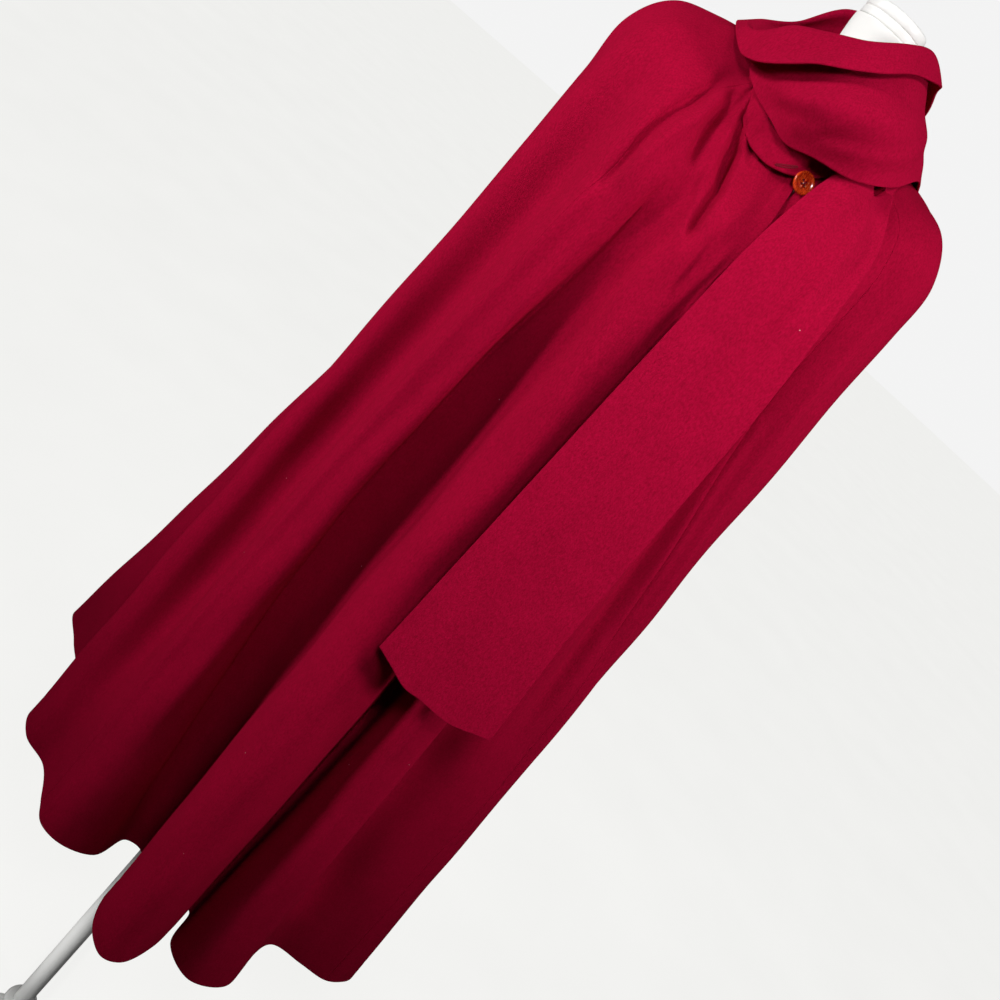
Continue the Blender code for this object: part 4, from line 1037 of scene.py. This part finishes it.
BUTTON_CENTRE = (0.0425, -0.0925, 1.1995)
BUTTON_TILT, BUTTON_TURN = math.radians(-18.0), math.radians(24.0)
HOLE_SPACING = 0.0036
HOLE_RADIUS = 0.0011

# The button's sewing: the thread's radius over the face and round the shank, then the shank's own radius
# and turns.
THREAD_RADIUS, SHANK_THREAD_RADIUS = 0.00042, 0.00055
SHANK_RADIUS, SHANK_TURNS = 0.0011, 6


def button_place():
    """The matrix that sets the button on the band, its face turned out and up."""
    return Matrix.Translation(BUTTON_CENTRE) @ Euler((BUTTON_TILT, 0.0, BUTTON_TURN)).to_matrix().to_4x4()


def turned_points(profile, sides, place):
    """Points and faces of a profile of (depth, radius) pairs turned round the -Y axis and then placed."""
    depth, radius = np.array(profile).T
    angle = np.linspace(0.0, 2 * math.pi, sides, endpoint=False)
    rings = np.stack([
        radius[:, None] * np.sin(angle),
        np.repeat(-depth[:, None], sides, axis=1),
        radius[:, None] * np.cos(angle),
    ], axis=-1).reshape(-1, 3)
    matrix = np.array(place)
    points = rings @ matrix[:3, :3].T + matrix[:3, 3]
    return points, [face[::-1] for face in ring_faces(len(profile), sides)]


def build_button(settings, resin, thread):
    """The four-hole button: a turned disc with a round edge, raised rim and dished middle, then drilled."""
    deep, wide = settings.thickness, settings.radius
    edge = np.linspace(-0.5 * math.pi, 0.5 * math.pi, 13)
    rim = [(0.5 * deep * math.sin(a), wide * (0.90 + 0.10 * math.cos(a))) for a in edge]
    dish = [(0.50, 0.84), (0.44, 0.78), (0.30, 0.70), (0.24, 0.60), (0.22, 0.40), (0.22, 0.15)]
    profile = [(-0.5 * deep, 0.80 * wide)] + rim + [(depth * deep, share * wide) for depth, share in dish]
    mesh = mesh_from("cape_button", *turned_points(profile, 96, button_place()), sharp=35.0)
    piece = finish_piece(mesh, "cape_button", resin, ["button"])
    centres = [(x * HOLE_SPACING / 2, z * HOLE_SPACING / 2) for x, z in ((-1, -1), (1, -1), (1, 1), (-1, 1))]
    mouth = HOLE_RADIUS * 1.5
    drill = [(-deep, HOLE_RADIUS), (0.12 * deep, HOLE_RADIUS), (0.32 * deep, mouth), (deep, mouth)]
    for number, (x, z) in enumerate(centres):
        place = button_place() @ Matrix.Translation((x, 0.0, z))
        cutter_mesh = mesh_from(f"drill_{number}", *turned_points(drill, 28, place))
        cutter = bpy.data.objects.new(f"drill_{number}", cutter_mesh)
        bpy.context.scene.collection.objects.link(cutter)
        cut = piece.modifiers.new(f"hole_{number}", "BOOLEAN")
        cut.operation, cut.solver, cut.object = "DIFFERENCE", "EXACT", cutter
        bpy.context.view_layer.update()
        drilled = bpy.data.meshes.new_from_object(piece.evaluated_get(bpy.context.evaluated_depsgraph_get()))
        piece.modifiers.clear()
        piece.data = drilled
        bpy.data.objects.remove(cutter, do_unlink=True)
    piece.data.name = "cape_button"
    build_button_thread(centres, deep, thread)
    return piece


def build_button_thread(centres, deep, thread):
    """The sewing: two crossing stitches over the button's face and the wound shank behind it, in one tube."""
    (ax, az), (bx, bz), (cx, cz), (dx, dz) = centres
    back, over = -0.0046, 0.32 * deep + 0.0008
    stops = [
        (0.0, back, 0.0), (ax, -0.5 * deep, az), (ax, 0.1 * deep, az), (ax * 0.55, over, az * 0.55),
        (0, over + 0.0003, 0),
        (cx * 0.55, over, cz * 0.55), (cx, 0.1 * deep, cz), (cx, -0.5 * deep, cz), (0.0003, back, 0.0),
        (bx, -0.5 * deep, bz), (bx, 0.1 * deep, bz), (bx * 0.55, over, bz * 0.55), (0, over + 0.0009, 0),
        (dx * 0.55, over, dz * 0.55), (dx, 0.1 * deep, dz), (dx, -0.5 * deep, dz), (-0.0003, back, 0.0),
    ]
    local = np.array([(x, -depth, z) for x, depth, z in stops])
    knots = chord_knots(local)
    path = curve_between(local, knots, np.linspace(0.0, len(local) - 1.0, 220))
    matrix = np.array(button_place())
    path = path @ matrix[:3, :3].T + matrix[:3, 3]
    mesh = mesh_from("button_thread", *tube_points(path, THREAD_RADIUS, 8))
    finish_piece(mesh, "button_thread", thread, [])
    turns = np.linspace(0.0, 2 * math.pi * SHANK_TURNS, 150)
    depth = np.linspace(-0.5 * deep - 0.0003, back - 0.0006, 150)
    coil = np.stack([SHANK_RADIUS * np.cos(turns), -depth, SHANK_RADIUS * np.sin(turns)], axis=-1)
    coil = coil @ matrix[:3, :3].T + matrix[:3, 3]
    shank = mesh_from("button_shank", *tube_points(coil, SHANK_THREAD_RADIUS, 8))
    finish_piece(shank, "button_shank", thread, [])


def ring_stack(name, rings, sides, material, nodes, sharp=40.0):
    """A closed stack of ovals. Each ring is centre x, y, z, half width, front depth and back depth."""
    x, y, z, wide, front, back = np.array(rings, float).T[:, :, None]
    angle = np.linspace(0.0, 2 * math.pi, sides, endpoint=False)[None, :]
    sine, cosine = np.sin(angle), np.cos(angle)
    deep = np.where(cosine > 0, front, back)
    points = np.stack([x + wide * sine, y - deep * cosine, z + 0.0 * sine], axis=-1).reshape(-1, 3)
    mesh = mesh_from(name, points, ring_faces(len(rings), sides), sharp)
    return finish_piece(mesh, name, material, nodes)


def build_form(settings, jersey, enamel):
    """The dress form: its covered torso as a smooth stack of ovals, a neck cap with two shadow lines."""
    table = np.array([row[1:] for row in TORSO])
    positions = np.linspace(0.0, len(table) - 1.0, 170)
    rows = curve_between(table, table[:, :1], positions)
    x, y = TORSO_CENTRE
    base = table[0]
    under = [(x, y, base[0] + 0.0010, base[1] * 0.985, base[2] * 0.985, base[3] * 0.985)]
    rings = [(x, y, base[0], base[1] * 0.965, base[2] * 0.965, base[3] * 0.965)] + under
    rings += [(x, y, z + 0.0025 * (z < 0.6025), wide, front, back) for z, wide, front, back in rows.tolist()]
    ring_stack("form_cover", rings, 128, jersey, ["form_torso"])
    wide = settings.cap_radius
    profile = (
        (1.3445, 0.90), (1.3450, 0.93), (1.3456, 0.93), (1.3462, 0.985), (1.3470, 1.0), (1.3520, 1.0),
        (1.3526, 0.975), (1.3530, 0.955), (1.3536, 0.955), (1.3540, 0.985), (1.3548, 1.0), (1.3610, 1.0),
        (1.3626, 0.985), (1.3636, 0.95), (1.3640, 0.90),
    )
    rings = [(x, y, z, wide * share, wide * share, wide * share) for z, share in profile]
    ring_stack("form_cap", rings, 96, enamel, ["form_neck_cap"])


def build_stand(settings, enamel):
    """The stand: a turned pole and hub, and three legs with rounded sections that flatten to their pads."""
    x, y = STAND_CENTRE
    wide = settings.pole_radius
    pole = [(-0.4905, 0.90), (-0.4895, 0.985), (-0.4885, 1.0), (0.5975, 1.0), (0.5990, 0.99), (0.5997, 0.95)]
    rings = [(x, y, z, wide * share, wide * share, wide * share) for z, share in pole]
    ring_stack("stand_pole_tube", rings, 96, enamel, ["stand_pole"])
    hub = [
        (-0.5220, 0.84), (-0.5214, 0.88), (-0.5180, 1.0), (-0.4970, 1.0), (-0.4930, 0.93), (-0.4912, 0.80),
        (-0.4910, 0.60),
    ]
    rings = [(x, y, z, HUB_RADIUS * share, HUB_RADIUS * share, HUB_RADIUS * share) for z, share in hub]
    ring_stack("stand_hub_cast", rings, 96, enamel, ["stand_hub"])
    table = np.array([row[1:] for row in LEG])
    reaches = np.linspace(table[0, 0], table[-1, 0], 90)
    rows = curve_between(table, table[:, :1], np.interp(reaches, table[:, 0], np.arange(len(table))))
    angle = np.linspace(0.0, 2 * math.pi, LEG_SIDES, endpoint=False)[None, :]
    boxy_sine = np.sign(np.sin(angle)) * np.abs(np.sin(angle)) ** 0.55
    boxy_cosine = np.sign(np.cos(angle)) * np.abs(np.cos(angle)) ** 0.55
    reach, half, top, under = rows.T[:, :, None]
    toe = np.sqrt(np.clip((table[-1, 0] + 0.0006 - reach) / 0.010, 0.0, 1.0))
    across = half * boxy_cosine * toe
    height = (top + under) / 2 + np.maximum(top - under, 0.0) / 2 * boxy_sine
    height = np.maximum(height, -HEM_HEIGHT)
    faces = ring_faces(reach.size, LEG_SIDES)
    for name, turn in LEGS:
        sine, cosine = math.sin(math.radians(turn)), math.cos(math.radians(turn))
        points = np.stack([
            x + reach * sine + across * cosine, y + reach * cosine - across * sine, height + 0.0 * across,
        ], axis=-1).reshape(-1, 3)
        finish_piece(mesh_from(f"{name}_arm", points, faces), f"{name}_arm", enamel, [name])


# Where the lights stand, all turned to the chest, and each one's width. name, place, width
CHEST = (0.03, -0.15, 1.42)
LIGHTS = (
    ("left", (-1.50, -0.90, 2.15), 0.30),
    ("edge", (-1.50, -0.40, 1.75), 0.30),
    ("right", (1.50, -0.90, 2.15), 0.30),
    ("top", (0.80, -0.80, 2.80), 0.30),
    ("front", (0.10, -1.15, 2.15), 0.25),
)

# Where the beams stand and what each is turned to, with its spread in degrees. name, place, aim, spread
BEAM_SOFTNESS = 0.14
BEAMS = (
    ("left", (-1.50, -0.90, 2.15), CHEST, 58.0),
    ("right", (1.50, -0.90, 2.15), CHEST, 58.0),
    ("front", (0.10, -1.15, 2.15), CHEST, 66.0),
    ("low", (-0.75, -0.90, 0.12), (0.0, -0.03, 0.22), 24.0),
)
FLOOR_RADIUS, FLOOR_SIDES = 30.0, 96


def aim_light(data, place, aim):
    """Puts a light at a place, turned to face a point."""
    light = bpy.data.objects.new(data.name, data)
    light.location = place
    light.rotation_euler = (Vector(aim) - Vector(place)).to_track_quat("-Z", "Y").to_euler()
    bpy.context.scene.collection.objects.link(light)


def add_light(name, place, aim, size, power):
    """A square soft light."""
    data = bpy.data.lights.new(name, "AREA")
    data.shape, data.size, data.energy = "SQUARE", size, power
    aim_light(data, place, aim)


def add_beam(name, place, aim, spread, power):
    """A soft beam that is brightest along its middle and fades all the way to its edge."""
    data = bpy.data.lights.new(name, "SPOT")
    data.energy, data.shadow_soft_size = power, BEAM_SOFTNESS
    data.spot_size, data.spot_blend = math.radians(spread), 1.0
    aim_light(data, place, aim)


def build_stage(settings):
    """The pale floor, the soft lights, the pale surroundings and the camera."""
    steps = np.linspace(0.0, 2 * math.pi, FLOOR_SIDES, endpoint=False)
    points = np.stack([FLOOR_RADIUS * np.cos(steps), FLOOR_RADIUS * np.sin(steps), 0.0 * steps], axis=-1)
    mesh = bpy.data.meshes.new("floor")
    mesh.from_pydata(points.tolist(), [], [list(range(FLOOR_SIDES))])
    mesh.materials.append(seamless_paper("seamless paper", settings.paper))
    floor = bpy.data.objects.new("floor", mesh)
    bpy.context.scene.collection.objects.link(floor)
    world = bpy.data.worlds.new("pale surroundings")
    bpy.context.scene.world = world
    world.use_nodes = True
    world.node_tree.nodes.clear()
    ray = add_node(world.node_tree, "ShaderNodeLightPath").outputs["Is Camera Ray"]
    seen = add_node(world.node_tree, "ShaderNodeMix", {"data_type": "FLOAT"}, {
        0: ray, 2: settings.ambience, 3: settings.backdrop,
    })
    sky = add_node(world.node_tree, "ShaderNodeBackground", inputs={
        "Color": hex_colour("#FFFFFF"), "Strength": seen.outputs[0],
    })
    add_node(world.node_tree, "ShaderNodeOutputWorld", inputs={"Surface": sky.outputs[0]})
    for name, place, width in LIGHTS:
        add_light(name, place, CHEST, width, getattr(settings, f"{name}_power"))
    for name, place, aim, spread in BEAMS:
        add_beam(f"{name} beam", place, aim, spread, getattr(settings, f"{name}_beam"))
    pitch, roll = settings.camera_pitch, settings.camera_roll
    right = Vector((1.0, 0.0, 0.0))
    up = Vector((0.0, math.sin(pitch), math.cos(pitch)))
    behind = Vector((0.0, -math.cos(pitch), math.sin(pitch)))
    turned_right = right * math.cos(roll) + up * math.sin(roll)
    turned_up = up * math.cos(roll) - right * math.sin(roll)
    data = bpy.data.cameras.new("photograph")
    data.lens, data.sensor_width = settings.lens, 36.0
    camera = bpy.data.objects.new("photograph", data)
    turn = Matrix((turned_right, turned_up, behind)).transposed().to_4x4()
    camera.matrix_world = Matrix.Translation(settings.camera_place) @ turn
    bpy.context.scene.collection.objects.link(camera)
    bpy.context.scene.camera = camera
    bpy.context.scene.view_settings.view_transform = "Standard"


class CAPE_OT_panels(bpy.types.Operator):
    """Builds the five panels of the cape"""

    bl_idname = "cape.panels"
    bl_label = "Cape panels"

    def execute(self, context):
        settings = context.scene.cape_settings
        material = milled_wool("crimson milled wool", settings.wool, settings.wool_shade, 640.0)
        for row in PANELS:
            build_panel(row, settings, material)
        return {"FINISHED"}


class CAPE_OT_band(bpy.types.Operator):
    """Builds the neck band and its buttonhole"""

    bl_idname = "cape.band"
    bl_label = "Neck band"

    def execute(self, context):
        settings = context.scene.cape_settings
        material = milled_wool("crimson milled wool band", settings.wool, settings.wool_shade, 660.0)
        build_band(material)
        build_buttonhole(twisted_thread("crimson thread", hex_colour("#8E0A28")))
        return {"FINISHED"}


class CAPE_OT_button(bpy.types.Operator):
    """Builds the button and its sewing"""

    bl_idname = "cape.button"
    bl_label = "Button"

    def execute(self, context):
        settings = context.scene.button_settings
        resin = cast_resin("red-orange cast resin", settings.resin, settings.streak)
        build_button(settings, resin, twisted_thread("button thread", hex_colour("#9A1022")))
        return {"FINISHED"}


class CAPE_OT_scarf(bpy.types.Operator):
    """Builds the four stretches of the scarf"""

    bl_idname = "cape.scarf"
    bl_label = "Scarf"

    def execute(self, context):
        settings = context.scene.scarf_settings
        shade = context.scene.cape_settings.wool_shade
        material = milled_wool("crimson milled wool scarf", settings.wool, shade, 650.0)
        for row in STRETCHES:
            build_stretch(row, settings, material)
        return {"FINISHED"}


class CAPE_OT_form(bpy.types.Operator):
    """Builds the dress form and its stand"""

    bl_idname = "cape.form"
    bl_label = "Dress form"

    def execute(self, context):
        settings = context.scene.form_settings
        enamel = baked_enamel("white baked enamel", settings.enamel)
        build_form(settings, knitted_jersey("white cotton jersey", settings.jersey), enamel)
        build_stand(settings, enamel)
        return {"FINISHED"}


class CAPE_OT_stage(bpy.types.Operator):
    """Sets the floor, the lights and the camera"""

    bl_idname = "cape.stage"
    bl_label = "Stage"

    def execute(self, context):
        build_stage(context.scene.stage_settings)
        return {"FINISHED"}


class CAPE_PT_sidebar(bpy.types.Panel):
    """Every setting, and a button for each group of pieces"""

    bl_idname = "CAPE_PT_sidebar"
    bl_label = "Opera Cape"
    bl_space_type = "VIEW_3D"
    bl_region_type = "UI"
    bl_category = "Opera Cape"

    def draw(self, context):
        for group in GROUPS:
            box = self.layout.box()
            settings = getattr(context.scene, group)
            for name in settings.bl_rna.properties.keys():
                if name not in ("rna_type", "name"):
                    box.prop(settings, name)
        for operator in OPERATORS:
            self.layout.operator(operator.bl_idname)


GROUPS = {
    "cape_settings": CapeSettings,
    "scarf_settings": ScarfSettings,
    "button_settings": ButtonSettings,
    "form_settings": FormSettings,
    "stage_settings": StageSettings,
}
OPERATORS = (CAPE_OT_stage, CAPE_OT_panels, CAPE_OT_band, CAPE_OT_button, CAPE_OT_scarf, CAPE_OT_form)


def register():
    """Registers the settings, the operators and the panel."""
    for name, group in GROUPS.items():
        bpy.utils.register_class(group)
        setattr(bpy.types.Scene, name, bpy.props.PointerProperty(type=group))
    for operator in OPERATORS:
        bpy.utils.register_class(operator)
    bpy.utils.register_class(CAPE_PT_sidebar)


def unregister():
    """Takes away what register() added."""
    bpy.utils.unregister_class(CAPE_PT_sidebar)
    for operator in reversed(OPERATORS):
        bpy.utils.unregister_class(operator)
    for name, group in reversed(list(GROUPS.items())):
        delattr(bpy.types.Scene, name)
        bpy.utils.unregister_class(group)


def main():
    """Builds the stage and every piece."""
    register()
    bpy.ops.cape.stage()
    bpy.ops.cape.panels()
    bpy.ops.cape.band()
    bpy.ops.cape.button()
    bpy.ops.cape.scarf()
    bpy.ops.cape.form()


if __name__ == "__main__":
    main()
